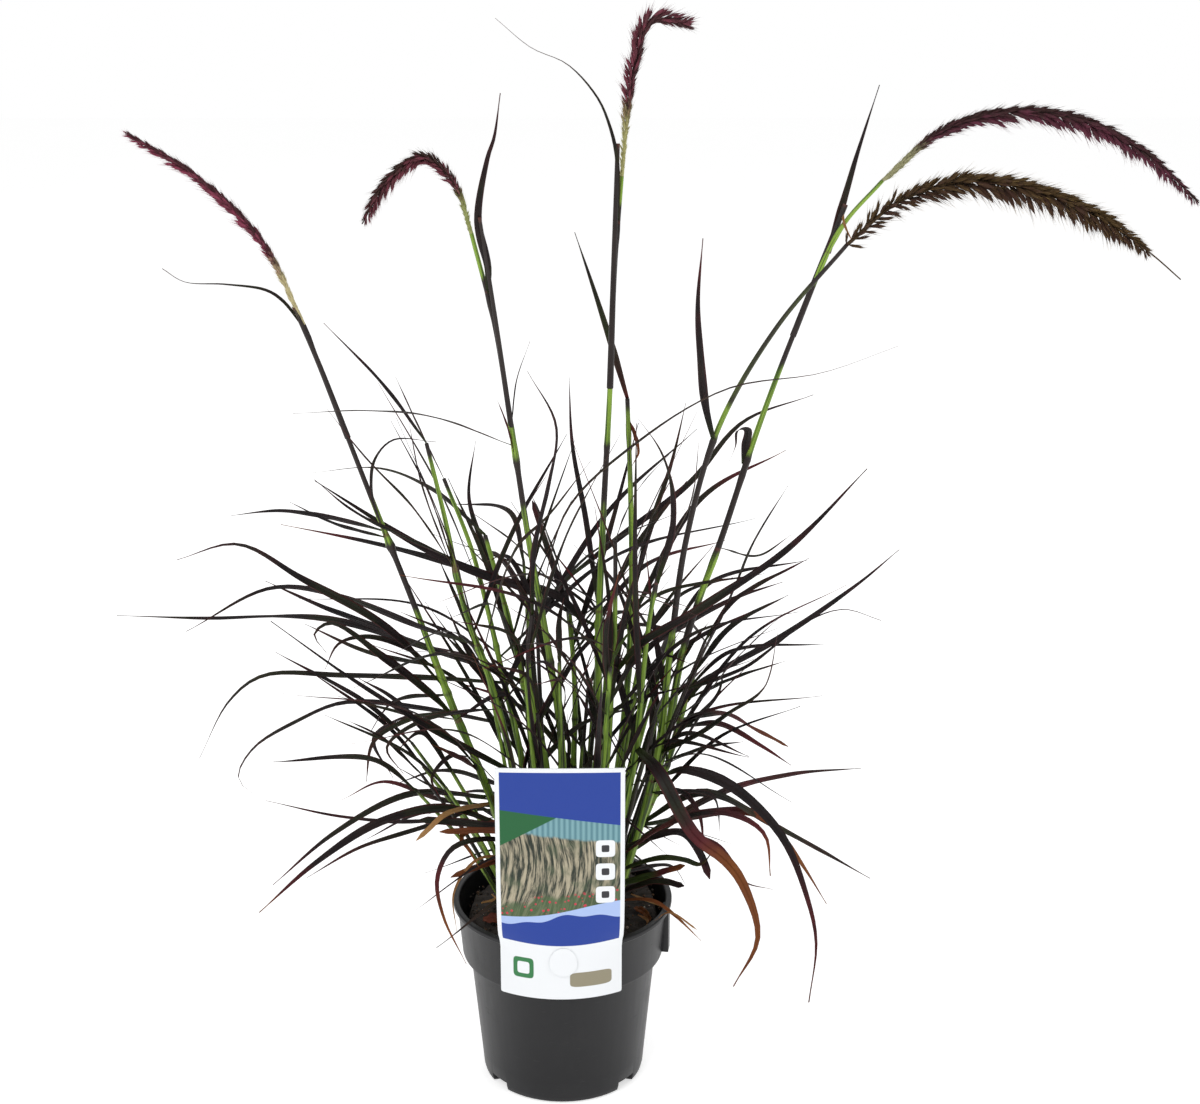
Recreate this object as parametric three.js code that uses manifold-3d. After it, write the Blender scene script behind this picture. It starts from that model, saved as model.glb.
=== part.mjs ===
// Potted purple fountain grass in a nursery pot, with its plant label.
// Millimetres, +Z up. The origin is the centre of the pot's flat base.
import * as THREE from "three";
import { mergeVertices } from "three/addons/utils/BufferGeometryUtils.js";
import Module from "manifold-3d";

const wasm = await Module();
wasm.setup();

// Driving dimensions
const gap = 0.3;
const roundSides = 48;
const pot = {
  height: 122,
  rimRadius: 70,
  collarFoot: 84,
  collarRadius: 64.3,
  collarTopRadius: 67.3,
  bodyTopRadius: 59.5,
  bodyFootRadius: 52,
  baseRadius: 47,
  wall: 1.3,
  floor: 3,
  lipHeight: 4,
};
const notch = { azimuths: [38, 142, 218, 322], width: 15, height: 7, depth: 10 };
const lug = { azimuth: -8, width: 9, inner: 66, outer: 69.3, foot: 88 };
const soilTop = 112;
const crown = { radius: 41, height: 5 };
const label = { width: 78, height: 156, foot: 87, thickness: 0.8 };

// Colours, with roughness, read off the photograph
const looks = {
  potPlastic: { color: 0x2d2d2f, roughness: 0.45 },
  soil: { color: 0x1d1511, roughness: 0.95 },
  crown: { color: 0x4a3b26, roughness: 0.9 },
  label: { color: 0xe9ecee, roughness: 0.3 },
  culm: { color: 0x5f7a35, roughness: 0.5 },
  blade: { color: 0x2a1a20, roughness: 0.4 },
  dryBlade: { color: 0x8a4a22, roughness: 0.8 },
  plume: { color: 0x5a3540, roughness: 0.9 },
};

// Each stem rises from the crown through points chosen by eye
const stems = {
  culm_1: { radius: [2.6, 1.2], through: [[-24, 8], [-44, 3, 187], [-68, 1, 253], [-89, -2, 319],
    [-110, -6, 382], [-130, -11, 444], [-148, -15, 500]] },
  culm_2: { radius: [2.6, 1.2], through: [[-2, -10], [1, -14, 220], [-7, -19, 296], [-18, -25, 368],
    [-27, -32, 438], [-36, -39, 505], [-48, -46, 560]] },
  culm_3: { radius: [2.8, 1.2], through: [[14, 8], [23, 14, 205], [23, 20, 288], [26, 27, 368],
    [30, 35, 446], [33, 43, 521], [37, 48, 575]] },
  culm_4: { radius: [2.8, 1.2], through: [[32, 4], [63, 8, 215], [77, 14, 290], [100, 21, 360],
    [122, 32, 428], [146, 38, 494], [168, 42, 545], [192, 45, 573]] },
  culm_5: { radius: [2.6, 1.2], through: [[34, -10], [59, -8, 217], [67, -12, 295], [76, -16, 370],
    [94, -20, 440], [126, -25, 501], [164, -30, 550]] },
  shoot_1: { radius: [2.6, 1.2], through: [[-18, -8], [-31, -12, 220], [-43, -18, 277], [-58, -25, 330],
    [-67, -30, 383], [-77, -35, 434]] },
  shoot_2: { radius: [2.4, 1.2], through: [[-14, 12], [-25, 10, 210], [-35, 16, 257], [-45, 22, 304],
    [-56, 26, 349], [-72, 30, 392]] },
  shoot_3: { radius: [2.4, 1.4], through: [[-8, 18], [-16, 22, 203], [-24, 29, 254], [-35, 36, 303],
    [-48, 45, 350]] },
  shoot_4: { radius: [2.4, 1.4], through: [[-6, -22], [-9, -26, 225], [-15, -33, 261], [-19, -41, 297],
    [-16, -50, 333]] },
  shoot_5: { radius: [2.4, 1.2], through: [[4, 22], [7, 28, 200], [8, 35, 240], [6, 41, 280],
    [2, 48, 319]] },
  shoot_6: { radius: [2.4, 1.2], through: [[14, -16], [28, -20, 222], [31, -27, 275], [33, -33, 326],
    [33, -38, 376]] },
  shoot_7: { radius: [2.6, 1.4], through: [[24, 22], [36, 30, 200], [42, 36, 261], [44, 42, 321],
    [43, 52, 379], [41, 62, 434]] },
  shoot_8: { radius: [2.4, 1.2], through: [[24, -24], [45, -24, 225], [49, -32, 274], [53, -41, 323],
    [60, -50, 369]] },
  shoot_9: { radius: [2.2, 1.2], through: [[8, -30], [26, -36, 227], [28, -46, 266], [30, -62, 305]] },
  shoot_10: { radius: [2.4, 1.2], through: [[29, 14], [65, 26, 194], [75, 40, 225], [86, 58, 254]] },
};

// Each blade leaves its stem at a height and arches through its points to its tip.
// A blade with no height grows out of the stem's top.
const blades = {
  flag_1: { stem: "culm_1", height: 499, width: 5, through: [[-164, -20, 519], [-184, -29, 527],
    [-219, -42, 539]] },
  flag_2: { stem: "culm_2", height: 525, width: 5, through: [[-43, -52, 571], [-40, -57, 603],
    [-31, -62, 639]] },
  flag_3: { stem: "culm_3", height: 548, width: 6, through: [[31, 41, 592], [25, 38, 618], [7, 34, 640],
    [-38, 25, 672]] },
  flag_4: { stem: "culm_4", height: 530, width: 7, through: [[171, 53, 559], [180, 57, 588],
    [196, 62, 627]] },
  flag_5: { stem: "culm_5", height: 432, width: 8, through: [[84, -36, 475], [80, -48, 515],
    [81, -60, 560]] },
  flag_7: { stem: "shoot_7", width: 7, through: [[31, 56, 470], [20, 45, 508], [9, 30, 545]] },
  left_1: { stem: "shoot_1", width: 7, through: [[-100, -48, 473], [-131, -60, 512]] },
  left_2: { stem: "culm_2", height: 432, width: 7, through: [[-70, -60, 457], [-105, -92, 470],
    [-142, -122, 477]] },
  left_3: { stem: "shoot_3", width: 7, through: [[-80, 58, 375], [-115, 70, 386], [-160, 80, 380]] },
  left_4: { stem: "culm_1", height: 370, width: 7, through: [[-140, 8, 377], [-172, 18, 380],
    [-204, 30, 370]] },
  left_5: { stem: "culm_3", height: 298, width: 8, through: [[-25, 46, 314], [-75, 60, 327],
    [-125, 62, 340],
    [-178, 60, 352]] },
  left_6: { stem: "culm_1", height: 268, width: 8, through: [[-105, -20, 313], [-153, -46, 355],
    [-186, -64, 382], [-218, -80, 378]] },
  left_7: { stem: "shoot_1", height: 303, width: 8, through: [[-85, -14, 311], [-131, -6, 327],
    [-175, -4, 333], [-229, -8, 306]] },
  left_8: { stem: "shoot_3", height: 258, width: 7, through: [[-65, 36, 270], [-151, 60, 288],
    [-232, 82, 280], [-296, 100, 274]] },
  left_9: { stem: "culm_1", height: 245, width: 8, through: [[-81, -8, 265], [-108, -18, 293],
    [-138, -30, 320], [-147, -36, 315], [-140, -38, 304]] },
  left_10: { stem: "shoot_1", height: 214, width: 10, through: [[-78, -50, 260], [-120, -86, 307],
    [-160, -120, 356]] },
  left_11: { stem: "shoot_2", height: 262, width: 7, through: [[-88, 8, 269], [-136, 16, 267],
    [-188, 26, 263], [-212, 32, 243], [-235, 40, 199]] },
  left_12: { stem: "shoot_3", height: 226, width: 6, through: [[-90, 36, 236], [-140, 48, 235],
    [-172, 58, 218], [-205, 71, 192], [-217, 79, 166], [-204, 86, 148]] },
  left_13: { stem: "culm_1", height: 190, width: 7, through: [[-95, -20, 202], [-140, -40, 185],
    [-176, -60, 160]] },
  left_14: { stem: "shoot_1", height: 170, width: 10, through: [[-70, -32, 198], [-110, -60, 202],
    [-146, -86, 188], [-177, -110, 168]] },
  left_15: { stem: "shoot_4", height: 150, width: 6, dry: true, through: [[-48, -38, 172], [-68, -52, 166],
    [-78, -64, 145], [-66, -78, 122], [-54, -86, 112]] },
  right_1: { stem: "culm_5", height: 200, width: 9, through: [[85, -33, 222], [121, -53, 207],
    [145, -66, 171], [156, -75, 127], [155, -80, 94]] },
  right_2: { stem: "culm_4", height: 170, width: 8, through: [[87, 14, 187], [141, 38, 150],
    [206, 70, 97]] },
  right_3: { stem: "shoot_10", height: 150, width: 8, through: [[102, 45, 172], [150, 76, 171],
    [202, 110, 160]] },
  right_4: { stem: "shoot_8", height: 160, width: 9, through: [[71, -60, 204], [101, -82, 219],
    [121, -96, 212], [124, -108, 191]] },
  right_5: { stem: "shoot_8", height: 236, width: 10, through: [[60, -68, 238], [82, -92, 206],
    [106, -108, 186], [116, -128, 156], [101, -150, 141]] },
  right_6: { stem: "shoot_6", height: 286, width: 9, through: [[47, -44, 311], [83, -48, 336],
    [136, -38, 371], [182, -20, 414]] },
  right_7: { stem: "culm_4", height: 258, width: 7, through: [[113, -10, 283], [150, -28, 321],
    [170, -36, 331], [191, -44, 327]] },
  right_8: { stem: "shoot_10", height: 236, width: 7, through: [[90, 50, 248], [143, 76, 270],
    [195, 112, 293], [224, 132, 310]] },
  right_9: { stem: "culm_5", height: 226, width: 8, through: [[82, -24, 243], [103, -44, 268],
    [121, -60, 290], [127, -80, 334]] },
  right_10: { stem: "shoot_10", width: 6, through: [[106, 58, 300], [121, 48, 345], [140, 32, 387]] },
  upper_1: { stem: "culm_2", height: 335, width: 7, through: [[6, -44, 398], [47, -62, 444], [95, -86, 481],
    [145, -108, 496], [184, -120, 514]] },
  upper_2: { stem: "shoot_5", width: 7, through: [[40, 78, 340], [82, 102, 366], [117, 126, 400],
    [165, 150, 412]] },
  upper_3: { stem: "culm_3", height: 308, width: 6, through: [[15, 76, 350], [6, 132, 382],
    [3, 195, 412]] },
  back_1: { stem: "shoot_5", height: 205, width: 8, through: [[-18, 85, 275], [-46, 145, 302],
    [-78, 205, 270]] },
  back_2: { stem: "shoot_10", height: 176, width: 8, through: [[62, 90, 240], [80, 150, 252],
    [104, 215, 205]] },
};

// The plumes follow on from the tops of the culms
const plumes = {
  plume_1: { stem: "culm_1", radius: 5.5, through: [[-168, -25, 550], [-200, -35, 588], [-238, -45, 616]] },
  plume_2: { stem: "culm_2", radius: 5, through: [[-57, -53, 590], [-74, -60, 605], [-93, -68, 592],
    [-106, -75, 571]] },
  plume_3: { stem: "culm_3", radius: 5.5, through: [[40, 54, 607], [44, 60, 636], [56, 65, 662],
    [80, 70, 659]] },
  plume_4: { stem: "culm_4", radius: 5.5, through: [[226, 51, 601], [268, 57, 612], [311, 63, 606],
    [353, 69, 585], [389, 75, 554]] },
  plume_5: { stem: "culm_5", radius: 9, through: [[196, -40, 576], [238, -48, 590], [280, -57, 583],
    [315, -64, 564], [345, -70, 539]] },
};

function material(look) {
  return new THREE.MeshStandardMaterial({ ...look, metalness: 0 });
}

function toSolid(geometry) {
  const bare = geometry.clone();
  bare.deleteAttribute("normal");
  bare.deleteAttribute("uv");
  const welded = mergeVertices(bare, 1e-4);
  return new wasm.Manifold(new wasm.Mesh({
    numProp: 3,
    vertProperties: new Float32Array(welded.attributes.position.array),
    triVerts: new Uint32Array(welded.index.array),
  }));
}

function toGeometry(solid) {
  const mesh = solid.getMesh();
  const geometry = new THREE.BufferGeometry();
  geometry.setAttribute("position", new THREE.BufferAttribute(mesh.vertProperties, 3));
  geometry.setIndex(new THREE.BufferAttribute(mesh.triVerts, 1));
  return geometry;
}

// A profile of radius and height pairs, turned about the pot's axis
function turned(profile) {
  const points = profile.map(([radius, height]) => new THREE.Vector2(radius, height));
  return new THREE.LatheGeometry(points, roundSides).rotateX(Math.PI / 2);
}

// A box placed at an azimuth, from an inner to an outer radius
function radialBox(azimuth, inner, outer, width, foot, top) {
  const box = new THREE.BoxGeometry(outer - inner, width, top - foot);
  box.translate((inner + outer) / 2, 0, (foot + top) / 2);
  return box.rotateZ(THREE.MathUtils.degToRad(azimuth));
}

function potGeometry() {
  const { height, rimRadius, collarFoot, wall, floor, lipHeight } = pot;
  const lipFoot = height - lipHeight;
  const shell = turned([
    [0, 0],
    [pot.baseRadius, 0],
    [pot.bodyFootRadius - 0.8, 1.2],
    [pot.bodyFootRadius, 4.5],
    [pot.bodyTopRadius, collarFoot],
    [pot.collarRadius, collarFoot + 1],
    [pot.collarTopRadius, lipFoot],
    [rimRadius, lipFoot + 0.6],
    [rimRadius, height - 0.8],
    [rimRadius - 0.8, height],
    [pot.collarTopRadius - 0.5, height],
    [pot.collarTopRadius - wall, lipFoot + 1],
    [pot.collarRadius - wall, collarFoot + 1 + wall],
    [pot.bodyTopRadius - wall, collarFoot + wall],
    [pot.bodyFootRadius - wall, floor + 2],
    [pot.bodyFootRadius - wall - 1.5, floor],
    [0, floor],
  ]);
  let solid = toSolid(shell).add(toSolid(
    radialBox(lug.azimuth, lug.inner, lug.outer, lug.width, lug.foot, lipFoot + 1),
  ));
  const notchInner = pot.bodyFootRadius - notch.depth / 2;
  for (const azimuth of notch.azimuths) {
    const cutter = radialBox(azimuth, notchInner, notchInner + notch.depth, notch.width, -1, notch.height);
    solid = solid.subtract(toSolid(cutter));
  }
  return toGeometry(solid);
}

// The potting mix fills the pot, and its top is lumpy outside the crown
function soilGeometry() {
  const { collarFoot, wall, floor } = pot;
  const inside = wall + gap;
  const edgeTop = soilTop - 1;
  const collarRise = pot.height - pot.lipHeight - collarFoot - 1;
  const collarSlope = (pot.collarTopRadius - pot.collarRadius) / collarRise;
  const edgeRadius = pot.collarRadius - inside + collarSlope * (edgeTop - collarFoot - 2.6);
  const geometry = turned([
    [0, floor + gap],
    [pot.bodyFootRadius - inside - 1.5, floor + gap],
    [pot.bodyFootRadius - inside, floor + 2 + gap],
    [pot.bodyTopRadius - inside, collarFoot + wall + gap],
    [pot.collarRadius - inside, collarFoot + 1 + wall + gap],
    [edgeRadius, edgeTop],
    [61, soilTop],
    [56, soilTop],
    [50, soilTop],
    [crown.radius + 3, soilTop],
    [0, soilTop],
  ]);
  const position = geometry.attributes.position;
  for (let i = 0; i < position.count; i += 1) {
    const x = position.getX(i);
    const y = position.getY(i);
    const radius = Math.hypot(x, y);
    if (position.getZ(i) === soilTop && radius > crown.radius + 4) {
      const azimuth = Math.atan2(y, x);
      const lump = Math.sin(azimuth * 11 + radius) + Math.sin(azimuth * 7 - radius * 2);
      position.setZ(i, soilTop + 0.8 * lump);
    }
  }
  return geometry;
}

function crownGeometry() {
  const foot = soilTop + gap;
  return turned([
    [0, foot],
    [crown.radius - 2, foot],
    [crown.radius, foot + 1.5],
    [crown.radius - 3, foot + crown.height - 1],
    [crown.radius - 5, foot + crown.height],
    [0, foot + crown.height],
  ]);
}

// The label stands against the front of the rim, wrapped around it below and flatter above
function labelGeometry() {
  const geometry = new THREE.BoxGeometry(label.width, label.thickness, label.height, 12, 1, 12);
  const position = geometry.attributes.position;
  const innerRadius = pot.rimRadius + gap + 0.1;
  for (let i = 0; i < position.count; i += 1) {
    const across = position.getX(i);
    const height = position.getZ(i) + label.foot + label.height / 2;
    const outward = position.getY(i) > 0 ? 0 : label.thickness;
    const bendRadius = innerRadius + Math.max(0, height - pot.height) * 6;
    const angle = across / bendRadius;
    const radius = bendRadius + outward;
    position.setXYZ(i, radius * Math.sin(angle), bendRadius - innerRadius - radius * Math.cos(angle), height);
  }
  return geometry;
}

// A closed bar of changing section along a curve. Its flat side lies across the heading.
function sweptBar(curve, sides, steps, heading, halfWidth, halfThickness) {
  const geometry = new THREE.CylinderGeometry(1, 1, 1, sides, steps);
  const across = new THREE.Vector3(-heading.y, heading.x, 0).normalize();
  const position = geometry.attributes.position;
  for (let i = 0; i < position.count; i += 1) {
    const along = position.getY(i) + 0.5;
    const tangent = curve.getTangentAt(along);
    const normal = new THREE.Vector3().crossVectors(across, tangent).normalize();
    const side = new THREE.Vector3().crossVectors(tangent, normal);
    const point = curve.getPointAt(along)
      .addScaledVector(side, position.getX(i) * halfWidth(along))
      .addScaledVector(normal, position.getZ(i) * halfThickness(along));
    position.setXYZ(i, point.x, point.y, point.z);
  }
  return geometry;
}

function curveThrough(points) {
  return new THREE.CatmullRomCurve3(points, false, "centripetal");
}

// A leaning stem is lifted until the low edge of its foot just clears the crown
function stemCurve(stem) {
  const crownTop = soilTop + gap + crown.height + gap;
  const points = stem.through.map(([x, y, z = crownTop]) => new THREE.Vector3(x, y, z));
  const lean = curveThrough(points).getTangentAt(0);
  points[0].z += stem.radius[0] * Math.hypot(lean.x, lean.y);
  return curveThrough(points);
}

function stemRadius(stem, along) {
  return THREE.MathUtils.lerp(stem.radius[0], stem.radius[1], along);
}

function stemGeometry(stem) {
  const radius = (along) => stemRadius(stem, along);
  const steps = 3 * (stem.through.length - 1);
  return sweptBar(stemCurve(stem), 6, steps, new THREE.Vector3(1, 0, 0), radius, radius);
}

// How far along its curve a stem passes a height
function alongAtHeight(curve, height) {
  let low = 0;
  let high = 1;
  for (let i = 0; i < 24; i += 1) {
    const middle = (low + high) / 2;
    if (curve.getPointAt(middle).z < height) low = middle;
    else high = middle;
  }
  return low;
}

// Where a blade or a plume starts, just clear of the stem that carries it
function seatOn(stem, height, firstPoint) {
  const curve = stemCurve(stem);
  if (height === undefined) {
    return curve.getPointAt(1).addScaledVector(curve.getTangentAt(1), 0.7);
  }
  const along = alongAtHeight(curve, height);
  const centre = curve.getPointAt(along);
  const outward = firstPoint.clone().sub(centre).setZ(0).normalize();
  return centre.addScaledVector(outward, stemRadius(stem, along) + 0.75);
}

function seatedCurve(item) {
  const points = item.through.map((point) => new THREE.Vector3(...point));
  return curveThrough([seatOn(stems[item.stem], item.height, points[0]), ...points]);
}

function headingOf(curve) {
  return curve.getPointAt(1).sub(curve.getPointAt(0)).setZ(0);
}

// A narrow foot, full width by the lower third, and a taper to a blunt tip
function bladeGeometry(blade) {
  const curve = seatedCurve(blade);
  const halfWidth = (along) => {
    const foot = Math.min(1, 0.45 + 2.2 * along);
    return Math.max(0.5, (blade.width / 2) * foot * (1 - along ** 2.5));
  };
  const steps = 3 * blade.through.length;
  return sweptBar(curve, 4, steps, headingOf(curve), halfWidth, () => 0.4);
}

function plumeGeometry(plume) {
  const curve = seatedCurve(plume);
  const radius = (along) => {
    const fullness = Math.min(1, 0.3 + 4 * along) * (1 - along) ** 0.35;
    return Math.max(0.8, plume.radius * fullness);
  };
  return sweptBar(curve, 8, 14, headingOf(curve), radius, radius);
}

const object = new THREE.Group();

function addMesh(name, geometry, look) {
  const mesh = new THREE.Mesh(geometry, material(look));
  mesh.name = name;
  object.add(mesh);
}

addMesh("pot", potGeometry(), looks.potPlastic);
addMesh("soil", soilGeometry(), looks.soil);
addMesh("root_crown", crownGeometry(), looks.crown);
addMesh("plant_label", labelGeometry(), looks.label);
for (const [name, stem] of Object.entries(stems)) {
  addMesh(name, stemGeometry(stem), looks.culm);
}
for (const [name, blade] of Object.entries(blades)) {
  addMesh(`blade_${name}`, bladeGeometry(blade), blade.dry ? looks.dryBlade : looks.blade);
}
for (const [name, plume] of Object.entries(plumes)) {
  addMesh(name, plumeGeometry(plume), looks.plume);
}

export default object;
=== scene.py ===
# Potted purple fountain grass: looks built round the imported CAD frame
import math
import random

import bpy
import numpy as np
from mathutils import Euler, Matrix, Vector, noise


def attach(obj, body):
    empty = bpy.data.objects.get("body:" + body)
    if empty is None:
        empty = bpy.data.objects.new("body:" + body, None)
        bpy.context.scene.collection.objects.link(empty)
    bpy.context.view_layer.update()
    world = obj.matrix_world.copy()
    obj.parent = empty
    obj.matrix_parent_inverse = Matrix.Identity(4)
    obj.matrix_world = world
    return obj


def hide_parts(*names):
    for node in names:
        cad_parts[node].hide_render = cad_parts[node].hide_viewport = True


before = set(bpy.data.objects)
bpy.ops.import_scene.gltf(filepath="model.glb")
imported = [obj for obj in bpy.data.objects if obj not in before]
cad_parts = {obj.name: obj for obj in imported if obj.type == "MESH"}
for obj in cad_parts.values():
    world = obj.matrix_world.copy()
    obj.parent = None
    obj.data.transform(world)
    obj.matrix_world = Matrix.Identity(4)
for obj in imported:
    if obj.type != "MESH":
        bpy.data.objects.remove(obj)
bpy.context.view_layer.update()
print("frame loaded:", len(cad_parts), "nodes")

mm = 0.001
dice = random.Random(17)
goldenTurn = 2.39996  # radians between one tuft and the next round a plume
softAngle = math.radians(40)  # edges flatter than this are shaded smooth


# Camera, where the photograph was taken from
cameraSettings = {
    "place": (0.024, -1.327, 0.822),
    "pitchDown": 19.4,
    "lens": 69.45,
    "sensor": 36.0,
}


def makeCamera(settings):
    data = bpy.data.cameras.new("viewCamera")
    data.lens = settings["lens"]
    data.sensor_width = settings["sensor"]
    data.sensor_fit = "HORIZONTAL"
    camera = bpy.data.objects.new("viewCamera", data)
    camera.location = settings["place"]
    camera.rotation_euler = (math.radians(90 - settings["pitchDown"]), 0, 0)
    bpy.context.scene.collection.objects.link(camera)
    bpy.context.scene.camera = camera


makeCamera(cameraSettings)


# A socket that takes part in plain expressions
class Field:
    def __init__(self, sheet, socket):
        self.sheet = sheet
        self.socket = socket

    def __add__(self, other):
        return self.sheet.math("ADD", self, other)

    def __radd__(self, other):
        return self.sheet.math("ADD", other, self)

    def __sub__(self, other):
        return self.sheet.math("SUBTRACT", self, other)

    def __rsub__(self, other):
        return self.sheet.math("SUBTRACT", other, self)

    def __mul__(self, other):
        return self.sheet.math("MULTIPLY", self, other)

    def __rmul__(self, other):
        return self.sheet.math("MULTIPLY", other, self)

    def __truediv__(self, other):
        return self.sheet.math("DIVIDE", self, other)

    def __pow__(self, other):
        return self.sheet.math("POWER", self, other)


# One material and the nodes that make it
class Finish:
    def __init__(self, name, roughness=0.5, **fixed):
        self.material = bpy.data.materials.new(name)
        self.material.use_nodes = True
        self.tree = self.material.node_tree
        self.shader = self.tree.nodes["Principled BSDF"]
        self.shader.inputs["Roughness"].default_value = roughness
        for socketName, value in fixed.items():
            self.shader.inputs[socketName.replace("_", " ")].default_value = value

    def node(self, kind, settings=None, inputs=None, output=0):
        made = self.tree.nodes.new("ShaderNode" + kind)
        for key, value in (settings or {}).items():
            setattr(made, key, value)
        for key, value in (inputs or {}).items():
            self.connect(made.inputs[key], value)
        return Field(self, made.outputs[output])

    def connect(self, socket, value):
        if isinstance(value, Field):
            self.tree.links.new(value.socket, socket)
        elif isinstance(value, tuple) and len(value) == 3 and socket.type == "RGBA":
            socket.default_value = (*value, 1)
        else:
            socket.default_value = value

    def math(self, operation, first, second=0.0, third=0.0):
        return self.node("Math", {"operation": operation}, {0: first, 1: second, 2: third})

    def smooth(self, value, low, high):
        settings = {"interpolation_type": "SMOOTHSTEP"}
        return self.node("MapRange", settings, {0: value, 1: low, 2: high, 3: 0.0, 4: 1.0})

    def mix(self, factor, first, second):
        return self.node("Mix", {"data_type": "RGBA"}, {0: factor, 6: first, 7: second}, 2)

    def place(self):
        return self.node("TexCoord", output=3)

    def flat(self):
        return self.node("TexCoord", output=2)

    def stretched(self, vector, scale):
        return self.node("Mapping", inputs={"Vector": vector, "Scale": scale})

    def noise(self, vector, scale, detail=3.0, roughness=0.55):
        inputs = {"Vector": vector, "Scale": scale, "Detail": detail, "Roughness": roughness}
        return self.node("TexNoise", inputs=inputs)

    def attribute(self, name):
        return self.node("Attribute", {"attribute_name": name}, output=2)

    def split(self, vector):
        made = self.tree.nodes.new("ShaderNodeSeparateXYZ")
        self.tree.links.new(vector.socket, made.inputs[0])
        return [Field(self, socket) for socket in made.outputs]

    def paint(self, colour=None, roughness=None, height=None, depth=0.0002, strength=0.5):
        if colour is not None:
            self.connect(self.shader.inputs["Base Color"], colour)
        if roughness is not None:
            self.connect(self.shader.inputs["Roughness"], roughness)
        if height is not None:
            bump = self.node("Bump", inputs={"Height": height, "Strength": strength, "Distance": depth})
            self.connect(self.shader.inputs["Normal"], bump)
        return self.material


# Satin black moulded plastic, with faint scuffs and flow streaks
def potPlasticFinish():
    finish = Finish("potPlastic", 0.4, Specular_IOR_Level=0.26)
    place = finish.place()
    cloud = finish.noise(place, 18.0, 4.0)
    streak = finish.noise(finish.stretched(place, (60.0, 60.0, 4.0)), 4.0, 3.0)
    grain = finish.noise(place, 900.0, 2.0)
    scuff = finish.smooth(finish.noise(finish.stretched(place, (40.0, 40.0, 240.0)), 3.0, 5.0), 0.63, 0.75)
    dust = finish.smooth(finish.noise(place, 60.0, 5.0), 0.55, 0.85)
    base = finish.mix(cloud, (0.0085, 0.0085, 0.0095), (0.016, 0.016, 0.0175))
    base = finish.mix(scuff * 0.3, base, (0.055, 0.055, 0.058))
    base = finish.mix(dust * 0.2, base, (0.04, 0.038, 0.036))
    shine = 0.36 + streak * 0.12 + scuff * 0.2 + dust * 0.1
    return finish.paint(base, shine, grain * 0.4 + streak * 0.6, 0.00012, 0.35)


# Damp dark potting mix
def soilFinish():
    finish = Finish("pottingMix", 0.9)
    place = finish.place()
    lump = finish.noise(place, 160.0, 6.0, 0.7)
    fibre = finish.noise(finish.stretched(place, (1.0, 3.0, 1.0)), 300.0, 4.0)
    bark = finish.smooth(finish.noise(place, 420.0, 2.0), 0.6, 0.72)
    base = finish.mix(lump, (0.006, 0.0045, 0.0035), (0.036, 0.025, 0.018))
    base = finish.mix(bark * 0.7, base, (0.085, 0.05, 0.028))
    return finish.paint(base, 0.75 + fibre * 0.25, lump + fibre * 0.5, 0.0012, 0.9)


# Crumbs take their colour from an attribute: dark mix, bark or pale grit
def crumbFinish():
    finish = Finish("soilCrumbs", 0.9)
    kind = finish.attribute("tone")
    place = finish.place()
    lump = finish.noise(place, 500.0, 4.0)
    dark = finish.mix(lump, (0.008, 0.006, 0.004), (0.045, 0.03, 0.02))
    bark = finish.mix(lump, (0.06, 0.03, 0.015), (0.16, 0.085, 0.04))
    base = finish.mix(finish.smooth(kind, 0.55, 0.7), dark, bark)
    base = finish.mix(finish.smooth(kind, 0.93, 0.96), base, (0.5, 0.46, 0.4))
    return finish.paint(base, 0.7 + lump * 0.3, lump, 0.0006, 0.8)


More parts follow.
